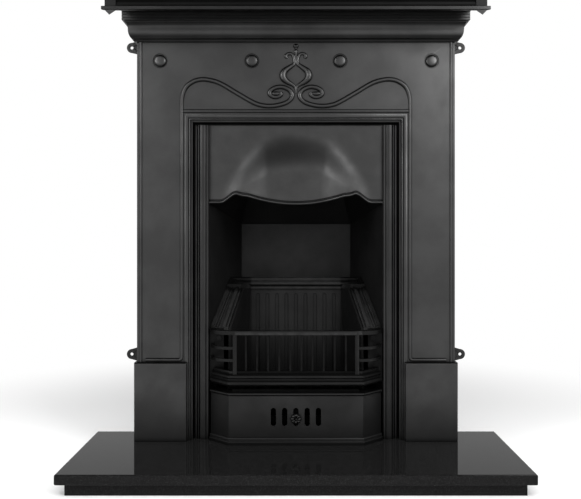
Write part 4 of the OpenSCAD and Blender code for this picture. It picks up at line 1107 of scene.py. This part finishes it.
area_lamp("softbox_left", (-2.0, -2.0, 1.75), AIM, SOFTBOX_SIZE, 40)
area_lamp("softbox_right", (1.6, -2.1, 1.90), AIM, SOFTBOX_SIZE, 54)
fill = area_lamp("top_fill", (0, -1.6, 3.0), (0, -0.2, 0.4), (2.6, 1.6), 60)
fill.visible_glossy = False

# %% [markdown]
# ## The world
#
# The camera and every reflection see one pale backdrop. Above the frame of the picture it falls
# off to a dark ceiling, so that the brow of the hood reads. Diffuse light comes from an even grey.

# %% World
# Height of the view direction (its Z) between which the backdrop turns dark
CEILING = (0.325, 0.75)
CEILING_TONE = 0.03
AMBIENT = 0.5


def make_world():
    world = bpy.data.worlds.new("studio")
    world.use_nodes = True
    tree = world.node_tree
    tree.nodes.clear()
    out = tree.nodes.new("ShaderNodeOutputWorld")
    rays = tree.nodes.new("ShaderNodeLightPath")
    shown = math_node(tree, "MAXIMUM", rays.outputs["Is Camera Ray"], rays.outputs["Is Transmission Ray"])
    shown = math_node(tree, "MAXIMUM", shown, rays.outputs["Is Glossy Ray"])
    direction = tree.nodes.new("ShaderNodeTexCoord")
    split = tree.nodes.new("ShaderNodeSeparateXYZ")
    join(tree, direction.outputs["Generated"], split.inputs[0])
    tone = map_range(tree, split.outputs["Z"], *CEILING, 1.0, CEILING_TONE)
    ambient = add_node(tree, "ShaderNodeBackground", {"Color": grey(AMBIENT)})
    backdrop = tree.nodes.new("ShaderNodeBackground")
    join(tree, tone, backdrop.inputs["Color"])
    mix = tree.nodes.new("ShaderNodeMixShader")
    join(tree, shown, mix.inputs[0])
    join(tree, ambient.outputs[0], mix.inputs[1])
    join(tree, backdrop.outputs[0], mix.inputs[2])
    join(tree, mix.outputs[0], out.inputs[0])
    bpy.context.scene.world = world


make_world()
print("world:", bpy.context.scene.world.name)

# %% [markdown]
# ## The floor
#
# The floor is a pale plain disc. Near the fireplace it takes light and shadow. Far away it fades
# to the same white as the background, so no horizon shows.

# %% Floor
FLOOR_RADIUS = 30.0
FLOOR_TONE = 0.92
FLOOR_ROUGH = 0.9
# Distances from the fireplace between which the floor turns into background
FLOOR_FADE = (0.9, 1.8)


def make_floor():
    mesh = bpy.data.meshes.new("floor")
    work = bmesh.new()
    bmesh.ops.create_circle(work, cap_ends=True, radius=FLOOR_RADIUS, segments=96)
    work.to_mesh(mesh)
    work.free()
    obj = bpy.data.objects.new("floor", mesh)
    bpy.context.scene.collection.objects.link(obj)
    material, tree, shader = start_material("pale_floor")
    shader.inputs["Base Color"].default_value = grey(FLOOR_TONE)
    shader.inputs["Roughness"].default_value = FLOOR_ROUGH
    place = add_node(tree, "ShaderNodeTexCoord").outputs["Object"]
    distance = add_node(tree, "ShaderNodeVectorMath", operation="LENGTH")
    join(tree, place, distance.inputs[0])
    far = map_range(tree, distance.outputs["Value"], *FLOOR_FADE)
    rays = tree.nodes.new("ShaderNodeLightPath")
    shown = math_node(tree, "MAXIMUM", rays.outputs["Is Camera Ray"], rays.outputs["Is Glossy Ray"])
    glow = add_node(tree, "ShaderNodeEmission", {"Color": grey(1.0), "Strength": 1.0})
    mix = tree.nodes.new("ShaderNodeMixShader")
    join(tree, math_node(tree, "MULTIPLY", far, shown), mix.inputs[0])
    join(tree, shader.outputs[0], mix.inputs[1])
    join(tree, glow.outputs[0], mix.inputs[2])
    join(tree, mix.outputs[0], tree.nodes["Material Output"].inputs["Surface"])
    mesh.materials.append(material)
    return obj


floor = make_floor()
print("floor:", floor.name)
